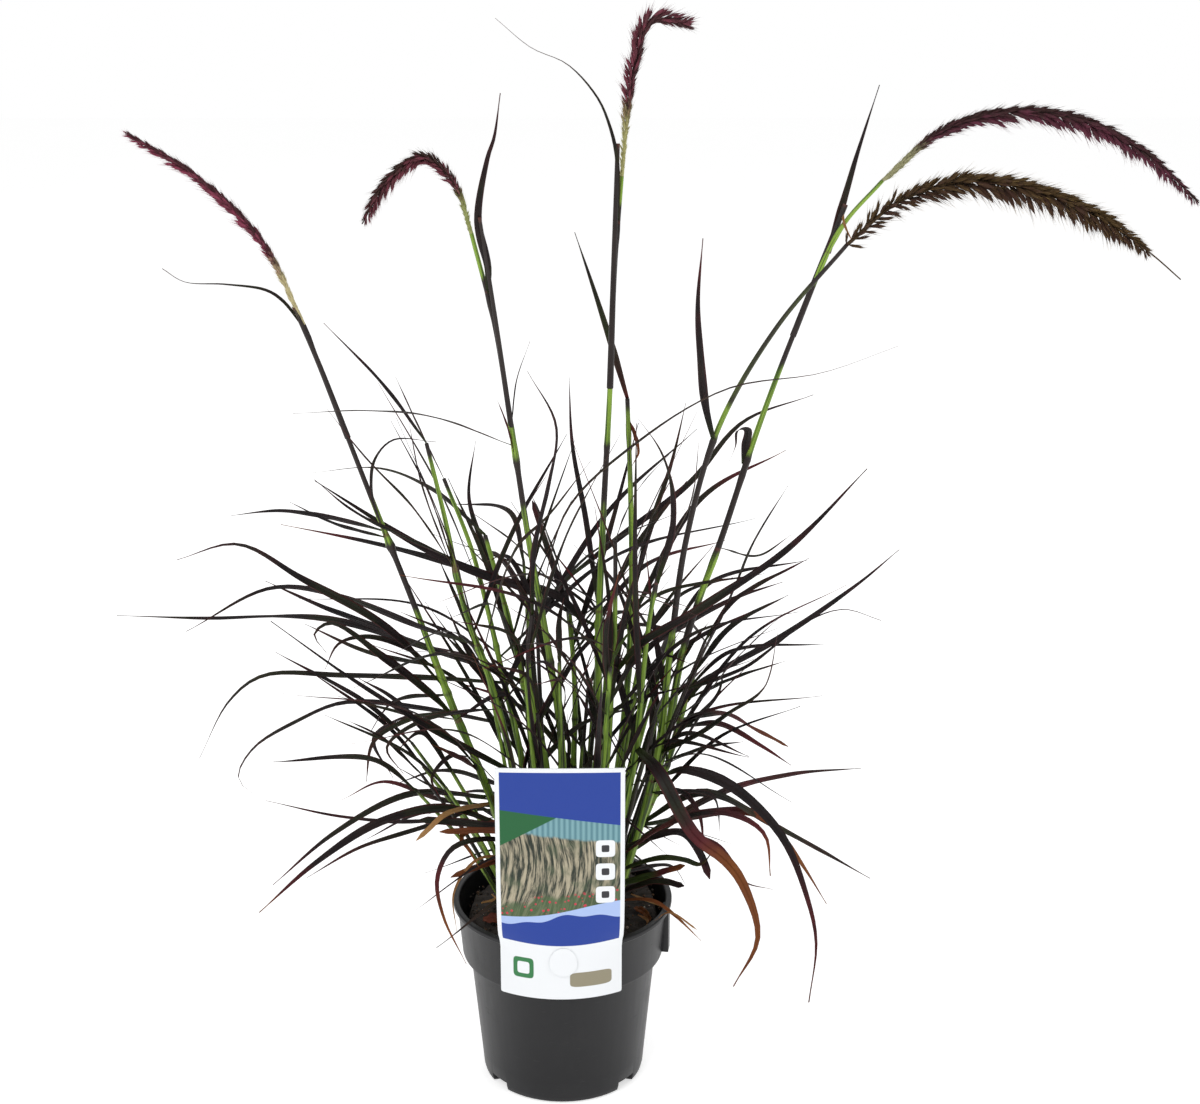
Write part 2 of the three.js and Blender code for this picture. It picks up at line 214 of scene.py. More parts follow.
# Blades: purple-black, olive in places, with red edges and ribs and fine lengthwise veins.
# The tone attribute runs 0 purple, 0.3 crimson, 0.55 rust, 1 dry straw, and green adds live green.
def bladeFinish():
    finish = Finish("purpleBlade", 0.42, Specular_IOR_Level=0.22)
    along, across, level = finish.split(finish.flat())
    tone = finish.attribute("tone")
    green = finish.attribute("green")
    fromRib = finish.math("ABSOLUTE", across - 0.5)
    edge = finish.smooth(fromRib, 0.3, 0.5)
    rib = 1 - finish.smooth(fromRib, 0.02, 0.08)
    place = finish.place()
    patch = finish.noise(place, 55.0, 4.0)
    broad = finish.noise(place, 16.0, 2.0)
    fleck = finish.smooth(finish.noise(place, 380.0, 3.0), 0.62, 0.8)
    vein = finish.math("SINE", across * 150.0)
    fine = finish.noise(finish.stretched(finish.flat(), (3.0, 90.0, 1.0)), 3.0, 2.0)
    purple = finish.mix(finish.smooth(patch, 0.3, 0.75), (0.005, 0.0036, 0.0042), (0.018, 0.009, 0.0105))
    purple = finish.mix(finish.smooth(broad, 0.5, 0.62) * 0.7, purple, (0.016, 0.02, 0.008))
    purple = finish.mix(edge * finish.smooth(broad, 0.35, 0.6) * 0.7, purple, (0.085, 0.014, 0.016))
    purple = finish.mix(rib * 0.45, purple, (0.045, 0.022, 0.016))
    leafGreen = finish.mix(patch, (0.02, 0.035, 0.007), (0.075, 0.125, 0.02))
    purple = finish.mix(finish.smooth(green + patch * 0.3 - 0.15, 0.15, 0.9), purple, leafGreen)
    crimson = finish.mix(patch, (0.035, 0.006, 0.008), (0.13, 0.016, 0.02))
    rust = finish.mix(patch, (0.1, 0.026, 0.008), (0.27, 0.085, 0.02))
    straw = finish.mix(patch, (0.26, 0.12, 0.035), (0.46, 0.27, 0.11))
    spread = tone + (patch - 0.5) * 0.22
    base = finish.mix(finish.smooth(spread, 0.12, 0.34), purple, crimson)
    base = finish.mix(finish.smooth(spread, 0.38, 0.62), base, rust)
    base = finish.mix(finish.smooth(spread, 0.66, 0.95), base, straw)
    base = finish.mix(fleck * 0.15, base, (0.1, 0.045, 0.035))
    shine = 0.34 + fine * 0.14 + tone * 0.3
    return finish.paint(base, shine, vein * 0.35 + fine, 0.00012, 0.6)


# Culms and shoots: bright green above each node, dark sheaths elsewhere, streaked lengthwise; the bright and
# dark green streaks are partly real streaking and partly painted highlight lines and painted shade.
# The shift attribute gives every stem its own streaks.
def culmFinish():
    finish = Finish("culmAndSheath", 0.38, Specular_IOR_Level=0.3)
    around, along, level = finish.split(finish.flat())
    green = finish.attribute("green")
    tone = finish.attribute("tone")
    shift = finish.attribute("shift") * 40.0
    turn = around * (2 * math.pi)
    ring = {0: finish.math("COSINE", turn) + shift, 1: finish.math("SINE", turn), 2: along * 12.0}
    streak = finish.noise(finish.node("CombineXYZ", inputs=ring), 1.3, 3.0)
    patch = finish.noise(finish.place(), 60.0, 4.0)
    line = finish.math("SINE", around * (44 * math.pi))
    sheath = finish.mix(patch, (0.011, 0.008, 0.008), (0.034, 0.023, 0.02))
    # The green runs from dark to bright along the streaks: partly real streaking, partly painted highlight
    # lines and painted shade
    greenWithPaintedHighlightAndShade = finish.mix(finish.smooth(streak, 0.36, 0.58), (0.045, 0.09, 0.013), (0.25, 0.4, 0.05))
    amount = finish.smooth(green * (0.5 + streak), 0.22, 0.7)
    base = finish.mix(amount, sheath, greenWithPaintedHighlightAndShade)
    base = finish.mix(finish.smooth(tone, 0.6, 1.0) * 0.7, base, (0.12, 0.04, 0.03))
    return finish.paint(base, 0.3 + streak * 0.2, line * 0.3 + streak, 0.00015, 0.6)


# Plumes: a dark core, paler bristle tips and a rosier underside, with colours for each plume.
# The tone attribute is the reach from the core, green the plume's foot and shade the open side.
def plumeFinish(name, colours, fringeFrom):
    finish = Finish(name, 0.7, Specular_IOR_Level=0.2)
    reach = finish.attribute("tone")
    foot = finish.attribute("green")
    shade = finish.attribute("shade")
    patch = finish.noise(finish.place(), 320.0, 3.0)
    body = finish.mix(finish.smooth(shade + (patch - 0.5) * 0.6, 0.3, 0.9), colours["body"], colours["under"])
    colour = finish.mix(finish.smooth(reach, 0.0, 0.35), colours["core"], body)
    tips = finish.smooth(reach + (patch - 0.5) * 0.4, fringeFrom, fringeFrom + 0.45)
    colour = finish.mix(tips, colour, colours["fringe"])
    colour = finish.mix(finish.smooth(foot + (patch - 0.5) * 0.5, 0.35, 0.85), colour, colours["foot"])
    return finish.paint(colour, 0.55 + patch * 0.3, patch, 0.0001, 0.4)


# Fibrous stubs of old sheaths at the crown
def crownFinish():
    finish = Finish("crownFibre", 0.85)
    place = finish.place()
    strand = finish.noise(finish.stretched(place, (400.0, 400.0, 30.0)), 2.0, 4.0)
    patch = finish.noise(place, 90.0, 4.0)
    base = finish.mix(patch, (0.03, 0.016, 0.01), (0.16, 0.09, 0.045))
    base = finish.mix(finish.smooth(strand, 0.5, 0.8) * 0.6, base, (0.34, 0.24, 0.13))
    return finish.paint(base, 0.7 + strand * 0.3, strand, 0.0005, 0.8)


# Curves through the same points as the CAD, sampled by length
class Path:
    def __init__(self, points, samples=40):
        ends = [points[0] * 2 - points[1]] + points + [points[-1] * 2 - points[-2]]
        dense = []
        for i in range(1, len(ends) - 2):
            for k in range(samples):
                dense.append(self.between(ends[i - 1:i + 3], k / samples))
        dense.append(points[-1])
        self.points = np.array([tuple(p) for p in dense])
        steps = np.linalg.norm(np.diff(self.points, axis=0), axis=1)
        self.length = np.concatenate([[0], np.cumsum(steps)])

    def between(self, four, share):
        knots = [0.0]
        for a, b in zip(four, four[1:]):
            knots.append(knots[-1] + max((b - a).length, 1e-6) ** 0.5)
        t = knots[1] + share * (knots[2] - knots[1])

        def blend(a, b, low, high):
            return a * ((high - t) / (high - low)) + b * ((t - low) / (high - low))

        first = [blend(four[i], four[i + 1], knots[i], knots[i + 1]) for i in range(3)]
        second = [blend(first[i], first[i + 1], knots[i], knots[i + 2]) for i in range(2)]
        return blend(second[0], second[1], knots[1], knots[2])

    def total(self):
        return self.length[-1]

    def at(self, share):
        reach = np.clip(share, 0, 1) * self.length[-1]
        place = [np.interp(reach, self.length, self.points[:, i]) for i in range(3)]
        return Vector(place)

    def heading(self, share):
        return (self.at(share + 0.01) - self.at(share - 0.01)).normalized()

    def shareAtHeight(self, height):
        return float(np.interp(height, self.points[:, 2], self.length)) / self.length[-1]


def asVectors(points):
    return [Vector(point) * mm for point in points]


# Mesh helpers shared by every piece
def selectNothing():
    if bpy.context.mode != "OBJECT":
        bpy.ops.object.mode_set(mode="OBJECT")
    bpy.ops.object.select_all(action="DESELECT")


def startEditing(kind="VERT"):
    bpy.ops.object.mode_set(mode="EDIT")
    bpy.ops.mesh.select_mode(type=kind)
    bpy.ops.mesh.select_all(action="DESELECT")


def pick(thing, items, test):
    bpy.ops.object.mode_set(mode="OBJECT")
    for item in getattr(thing.data, items):
        item.select = test(item)
    bpy.ops.object.mode_set(mode="EDIT")


def applyPlace():
    bpy.ops.object.transform_apply(location=True, rotation=True, scale=True)


def settle(thing, name, material, *nodes, slot=None):
    thing.name = name
    thing.data.name = name
    thing.data.materials.clear()
    thing.data.materials.append(material)
    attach(thing, "root")
    if nodes:
        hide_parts(*nodes)
    return thing


def vertexArray(mesh):
    flat = np.empty(len(mesh.vertices) * 3)
    mesh.vertices.foreach_get("co", flat)
    return flat.reshape(-1, 3)


def newObject(name, mesh):
    thing = bpy.data.objects.new(name, mesh)
    bpy.context.scene.collection.objects.link(thing)
    return thing


def addAttribute(mesh, name, values):
    layer = mesh.attributes.new(name, "FLOAT", "POINT")
    layer.data.foreach_set("value", np.asarray(values, dtype=np.float32))


def smoothFaces(mesh):
    mesh.polygons.foreach_set("use_smooth", [True] * len(mesh.polygons))


# The one blade that every leaf is copied from: a folded strip with a midrib groove
bladeShape = {
    "lengthCuts": 30,
    "widthCuts": 6,
    "groove": -0.2,
    "shoulder": -0.03,
    "lift": 0.14,
    "thickness": 0.09,
}


def modelBlade(shape):
    selectNothing()
    cuts = {"x_subdivisions": shape["lengthCuts"], "y_subdivisions": shape["widthCuts"]}
    bpy.ops.mesh.primitive_grid_add(size=2, **cuts)
    blade = bpy.context.object
    startEditing()
    pick(blade, "vertices", lambda v: abs(v.co.y) < 0.1)
    bpy.ops.transform.translate(value=(0, 0, shape["groove"]))
    pick(blade, "vertices", lambda v: 0.1 < abs(v.co.y) < 0.5)
    bpy.ops.transform.resize(value=(1, 0.5, 1))
    bpy.ops.transform.translate(value=(0, 0, shape["shoulder"]))
    pick(blade, "vertices", lambda v: abs(v.co.y) > 0.9)
    bpy.ops.transform.translate(value=(0, 0, shape["lift"]))
    bpy.ops.mesh.select_all(action="SELECT")
    bpy.ops.mesh.extrude_region_move(TRANSFORM_OT_translate={"value": (0, 0, -shape["thickness"])})
    bpy.ops.mesh.select_all(action="SELECT")
    bpy.ops.mesh.normals_make_consistent(inside=False)
    selectNothing()
    mesh = blade.data
    bpy.data.objects.remove(blade)
    return mesh


# Width along a blade: a narrow foot, full by the lower third, then a taper, early where the power is low
def bladeWidth(along, bluntTip, taper):
    foot = min(1, 0.45 + 2.2 * along)
    narrowing = 1 - along ** taper if not bluntTip else min(1, (1 - along) * 14 + 0.1) * (1 - 0.35 * along)
    return max(0.09, foot * narrowing)


# A positive twist, in degrees from foot to tip, turns the blade's face towards the viewer
def layBlade(master, path, width, twist=(0, 0), bluntTip=False, taper=2.5, wave=0.0, phase=0.0, fold=1.0):
    mesh = master.copy()
    rest = vertexArray(mesh)
    placed = np.empty_like(rest)
    ends = path.at(1) - path.at(0)
    sideways = Vector((-ends.y, ends.x, 0)).normalized()
    turnSign = 1 if sideways.y >= 0 else -1
    rings = {}
    for i, (x, y, z) in enumerate(rest):
        along = round((x + 1) / 2, 4)
        if along not in rings:
            tangent = path.heading(along)
            normal = tangent.cross(sideways).normalized()
            side = normal.cross(tangent)
            turn = math.radians(turnSign * np.interp(along, np.linspace(0, 1, len(twist)), twist))
            turned = side * math.cos(turn) + normal * math.sin(turn)
            upward = normal * math.cos(turn) - side * math.sin(turn)
            half = width / 2 * mm * bladeWidth(along, bluntTip, taper)
            rings[along] = (path.at(along), turned, upward, half)
        centre, turned, upward, half = rings[along]
        ripple = wave * math.sin(along * 23 + phase + (2 if y > 0 else 0)) * abs(y) * half
        placed[i] = centre + turned * (y * half) + upward * (z * fold * half + ripple)
    mesh.vertices.foreach_set("co", placed.ravel())
    mesh.update()
    smoothFaces(mesh)
    return mesh, (rest[:, 0] + 1) / 2


# Several copies of one small modelled mesh, each at its own matrix, as one mesh
def scatter(name, master, matrices, tones=None):
    rest = np.c_[vertexArray(master), np.ones(len(master.vertices))]
    count = len(rest)
    corners = [list(p.vertices) for p in master.polygons]
    points = np.concatenate([(rest @ np.array(matrix).T)[:, :3] for matrix in matrices])
    faces = []
    for k in range(len(matrices)):
        faces += [[corner + k * count for corner in face] for face in corners]
    mesh = bpy.data.meshes.new(name)
    mesh.from_pydata(points.tolist(), [], faces)
    mesh.update()
    if tones is not None:
        addAttribute(mesh, "tone", np.repeat(tones, count))
    return mesh


# Stems rise from the crown. Greens are lowest and highest height of live green and how bright it is.
# Nodes are heights where the stem swells.
crownTop = 118.0
stems = {
    "culm_1": {"radius": (2.6, 1.2), "greens": [(362, 390, 0.9), (170, 318, 0.8)], "nodes": [360, 262],
        "through": [(-24, 8, crownTop), (-44, 3, 187), (-68, 1, 253), (-89, -2, 319), (-110, -6, 382),
        (-130, -11, 444), (-148, -15, 500)]},
    "culm_2": {"radius": (2.6, 1.2), "nodes": [432, 290], "greens": [(535, 575, 1.0), (424, 462, 0.85),
        (330, 395, 0.6), (130, 330, 0.55)],
        "through": [(-2, -10, crownTop), (1, -14, 220), (-7, -19, 296), (-18, -25, 368), (-27, -32, 438),
        (-36, -39, 505), (-48, -46, 560)]},
    "culm_3": {"radius": (2.8, 1.2), "nodes": [414, 300], "greens": [(560, 600, 1.0), (414, 468, 1.0),
        (364, 380, 0.45), (130, 366, 0.9)],
        "through": [(14, 8, crownTop), (23, 14, 205), (23, 20, 288), (26, 27, 368), (30, 35, 446),
        (33, 43, 521), (37, 48, 575)]},
    "culm_4": {"radius": (2.8, 1.2), "nodes": [405, 280], "greens": [(512, 580, 0.75), (408, 462, 0.9),
        (316, 348, 0.7), (130, 290, 0.6)],
        "through": [(32, 4, crownTop), (63, 8, 215), (77, 14, 290), (100, 21, 360), (122, 32, 428),
        (146, 38, 494), (168, 42, 545), (192, 45, 573)]},
    "culm_5": {"radius": (2.6, 1.2), "nodes": [430, 300], "greens": [(434, 452, 1.0), (452, 530, 0.32),
        (130, 310, 0.6)],
        "through": [(34, -10, crownTop), (59, -8, 217), (67, -12, 295), (76, -16, 370), (94, -20, 440),
        (126, -25, 501), (164, -30, 550)]},
    "shoot_1": {"radius": (2.6, 1.2), "greens": [(130, 425, 0.9)], "nodes": [300],
        "through": [(-18, -8, crownTop), (-31, -12, 220), (-43, -18, 277), (-58, -25, 330),
        (-67, -30, 383), (-77, -35, 434)]},
    "shoot_2": {"radius": (2.4, 1.2), "greens": [(130, 385, 0.95)], "nodes": [285],
        "through": [(-14, 12, crownTop), (-25, 10, 210), (-35, 16, 257), (-45, 22, 304), (-56, 26, 349),
        (-72, 30, 392)]},
    "shoot_3": {"radius": (2.4, 1.4), "greens": [(130, 345, 1.0)], "nodes": [255],
        "through": [(-8, 18, crownTop), (-16, 22, 203), (-24, 29, 254), (-35, 36, 303), (-48, 45, 350)]},
    "shoot_4": {"radius": (2.4, 1.4), "greens": [(130, 300, 0.6)], "nodes": [245],
        "through": [(-6, -22, crownTop), (-9, -26, 225), (-15, -33, 261), (-19, -41, 297),
        (-16, -50, 333)]},
    "shoot_5": {"radius": (2.4, 1.2), "greens": [(130, 300, 0.7)], "nodes": [230],
        "through": [(4, 22, crownTop), (7, 28, 200), (8, 35, 240), (6, 41, 280), (2, 48, 319)]},
    "shoot_6": {"radius": (2.4, 1.2), "greens": [(130, 340, 0.65)], "nodes": [260],
        "through": [(14, -16, crownTop), (28, -20, 222), (31, -27, 275), (33, -33, 326), (33, -38, 376)]},
    "shoot_7": {"radius": (2.7, 1.4), "greens": [(380, 430, 0.5), (130, 385, 0.8)], "nodes": [290],
        "through": [(24, 22, crownTop), (36, 30, 200), (42, 36, 261), (44, 42, 321), (43, 52, 379),
        (41, 62, 434)]},
    "shoot_8": {"radius": (2.4, 1.2), "greens": [(130, 345, 0.9)], "nodes": [270],
        "through": [(24, -24, crownTop), (45, -24, 225), (49, -32, 274), (53, -41, 323), (60, -50, 369)]},
    "shoot_9": {"radius": (2.2, 1.2), "greens": [(130, 300, 0.9)], "nodes": [],
        "through": [(8, -30, crownTop), (26, -36, 227), (28, -46, 266), (30, -62, 305)]},
    "shoot_10": {"radius": (2.4, 1.2), "greens": [(130, 250, 0.6)], "nodes": [200],
        "through": [(29, 14, crownTop), (65, 26, 194), (75, 40, 225), (86, 58, 254)]},
}

# Large blades, each standing for the CAD blade of its name. Tone runs from foot to tip.
largeBlades = {
    "flag_1": {"stem": "culm_1", "height": 499, "width": 4.5, "twist": (60, 70, 60), "taper": 0.45,
        "through": [(-159, -19, 515), (-168, -22, 522), (-190, -29, 527), (-212, -36, 530),
        (-223, -42, 539)]},
    "flag_2": {"stem": "culm_2", "height": 525, "width": 6, "twist": (-35, -35), "taper": 1.4,
        "through": [(-39, -46, 540), (-44, -50, 568), (-38, -52, 603), (-34, -56, 615), (-30, -62, 640)]},
    "flag_3": {"stem": "culm_3", "height": 548, "width": 5, "twist": (-70, -60, -40, -30), "taper": 0.5,
        "through": [(34, 43, 587), (29, 41, 608), (22, 36, 624), (5, 32, 643), (-16, 29, 653),
        (-36, 25, 670)]},
    "flag_4": {"stem": "culm_4", "height": 530, "width": 6.5, "twist": (60, 75), "taper": 1.0,
        "tone": (0.3, 0.02, 0.1),
        "through": [(170, 53, 559), (178, 57, 588), (190, 62, 627)]},
    "flag_5": {"stem": "culm_5", "height": 432, "width": 6.5, "twist": (20, 10, 10), "taper": 1.6,
        "through": [(85, -33, 456), (81, -44, 492), (79, -52, 520), (81, -60, 560)]},
    "flag_7": {"stem": "shoot_7", "width": 5, "twist": (-45, -45), "taper": 1.6,
        "tone": (0.28, 0.05, 0.15),
        "through": [(31, 56, 470), (20, 45, 508), (9, 30, 545)]},
    "left_1": {"stem": "shoot_1", "width": 5, "twist": (30, 50), "taper": 1.4,
        "through": [(-100, -48, 473), (-131, -60, 512)]},
    "left_2": {"stem": "culm_2", "height": 432, "width": 5, "twist": (0, 10), "taper": 1.3,
        "through": [(-70, -60, 457), (-105, -92, 470), (-142, -122, 477)]},
    "left_3": {"stem": "shoot_3", "width": 5, "twist": (15, 10, 0), "taper": 1.3,
        "through": [(-80, 58, 375), (-115, 70, 386), (-160, 80, 380)]},
    "left_4": {"stem": "culm_1", "height": 370, "width": 4.5, "twist": (10, 25, 20),
        "through": [(-140, 8, 374), (-172, 18, 375), (-204, 30, 368)]},
    "left_5": {"stem": "culm_3", "height": 298, "width": 6, "twist": (15, 35, 20),
        "tone": (0.0, 0.0, 0.0, 0.1, 0.7),
        "through": [(-25, 46, 314), (-75, 60, 327), (-125, 62, 340), (-178, 60, 352)]},
    "left_6": {"stem": "culm_1", "height": 268, "width": 6.5, "twist": (30, 60, 10),
        "through": [(-105, -20, 313), (-153, -46, 355), (-186, -64, 382), (-218, -80, 378)]},
    "left_7": {"stem": "shoot_1", "height": 303, "width": 5.5, "twist": (20, 20, 40),
        "through": [(-85, -14, 311), (-131, -6, 327), (-175, -4, 333), (-229, -8, 306)]},
    "left_8": {"stem": "shoot_3", "height": 258, "width": 5.5, "twist": (30, 20, 45, 10, 30, 20),
        "through": [(-65, 36, 270), (-151, 60, 288), (-232, 82, 280), (-295, 100, 275)]},
    "left_9": {"stem": "culm_1", "height": 245, "width": 7, "twist": (40, 50, 20),
        "through": [(-81, -8, 265), (-108, -18, 293), (-138, -30, 320), (-147, -36, 315),
        (-140, -38, 304)]},
    "left_10": {"stem": "shoot_1", "height": 214, "width": 8, "twist": (40, 50), "taper": 1.1,
        "tone": (0.0, 0.04, 0.1),
        "through": [(-78, -50, 260), (-120, -86, 307), (-160, -120, 356)]},
    "left_11": {"stem": "shoot_2", "height": 262, "width": 5, "twist": (30, 30, 60, 40), "taper": 1.6,
        "through": [(-88, 8, 269), (-136, 16, 267), (-188, 26, 263), (-212, 32, 243), (-235, 40, 199)]},
    "left_12": {"stem": "shoot_3", "height": 226, "width": 4.5, "twist": (10, 20, 20, 30, 50), "taper": 4,
        "tone": (0.0, 0.0, 0.1, 0.2),
        "through": [(-90, 36, 236), (-140, 48, 235), (-172, 58, 218), (-205, 71, 192), (-217, 79, 166),
        (-204, 86, 148)]},
    "left_13": {"stem": "culm_1", "height": 190, "width": 5, "twist": (25, 45),
        "tone": (0.02, 0.02, 0.05, 0.1, 0.4),
        "through": [(-95, -20, 202), (-140, -40, 185), (-176, -60, 160)]},
    "left_14": {"stem": "shoot_1", "height": 170, "width": 7, "twist": (25, 40),
        "tone": (0.02, 0.0, 0.02, 0.08, 0.7),
        "through": [(-70, -32, 198), (-110, -60, 202), (-146, -86, 188), (-177, -110, 168)]},
    "left_15": {"stem": "shoot_4", "height": 168, "width": 4, "twist": (20, 50, 60),
        "tone": (0.0, 0.0, 0.1, 0.6, 0.75),
        "through": [(-50, -46, 184), (-67, -56, 182), (-75, -66, 167), (-71, -76, 147), (-57, -86, 120)]},
    "right_1": {"stem": "culm_5", "height": 206, "width": 9, "twist": (25, 40, 50), "taper": 1.2,
        "tone": (0.0, 0.0, 0.06, 0.22, 0.4),
        "through": [(76, -31, 224), (103, -38, 217), (134, -47, 189), (151, -55, 150), (157, -63, 122),
        (152, -80, 90)]},
    "right_2": {"stem": "culm_4", "height": 170, "width": 6.5, "twist": (30, 40), "tone": (0.02, 0.1, 0.2),
        "through": [(87, 14, 187), (141, 38, 150), (206, 70, 97)]},
    "right_3": {"stem": "shoot_10", "height": 150, "width": 5.5, "twist": (20, 25),
        "tone": (0.1, 0.3, 0.2),
        "through": [(102, 45, 172), (150, 76, 171), (202, 110, 160)]},
    "right_4": {"stem": "shoot_8", "height": 160, "width": 7, "twist": (20, 35),
        "tone": (0.25, 0.34, 0.12, 0.3, 0.6),
        "through": [(71, -60, 204), (101, -82, 219), (121, -96, 212), (124, -108, 191)]},
    "right_5": {"stem": "shoot_8", "height": 236, "width": 9, "twist": (35, 50),
        "tone": (0.0, 0.0, 0.2, 0.65, 0.62, 0.5),
        "through": [(60, -68, 238), (80, -86, 207), (98, -99, 197), (108, -116, 189), (116, -130, 162),
        (101, -149, 141)]},
    "right_6": {"stem": "shoot_6", "height": 286, "width": 7, "twist": (25, 35), "green": 0.7,
        "tone": (0.0, 0.1, 0.16),
        "through": [(47, -44, 311), (83, -48, 336), (136, -38, 371), (182, -20, 414)]},
    "right_7": {"stem": "culm_4", "height": 258, "width": 5, "twist": (30, 20), "taper": 1.2,
        "through": [(113, -10, 283), (150, -28, 321), (170, -36, 331), (191, -44, 327)]},
    "right_8": {"stem": "shoot_10", "height": 236, "width": 5, "twist": (25, 35),
        "tone": (0.0, 0.05, 0.25),
        "through": [(90, 50, 248), (143, 76, 270), (195, 112, 293), (224, 132, 310)]},
    "right_9": {"stem": "culm_5", "height": 226, "width": 5.5, "twist": (50, 20),
        "through": [(82, -24, 243), (103, -44, 268), (121, -60, 290), (127, -80, 334)]},
    "right_10": {"stem": "shoot_10", "width": 4, "twist": (30, 50),
        "through": [(106, 58, 300), (121, 48, 345), (140, 32, 387)]},
    "upper_1": {"stem": "culm_2", "height": 335, "width": 5, "twist": (25, 25, 15, 5), "taper": 1.2,
        "through": [(6, -44, 398), (47, -62, 444), (95, -86, 481), (145, -108, 496), (184, -120, 514)]},
    "upper_2": {"stem": "shoot_5", "width": 5, "twist": (30, 35),
        "through": [(40, 78, 340), (82, 102, 366), (117, 126, 400), (165, 150, 412)]},
    "upper_3": {"stem": "culm_3", "height": 308, "width": 4, "twist": (10, 40),
        "through": [(15, 76, 350), (6, 132, 382), (3, 195, 412)]},
    "back_1": {"stem": "shoot_5", "height": 205, "width": 5.5, "twist": (0, 20),
        "through": [(-18, 85, 275), (-46, 145, 302), (-78, 205, 270)]},
    "back_2": {"stem": "shoot_10", "height": 176, "width": 5.5, "twist": (0, -20),
        "through": [(62, 90, 240), (80, 150, 252), (104, 215, 205)]},
}

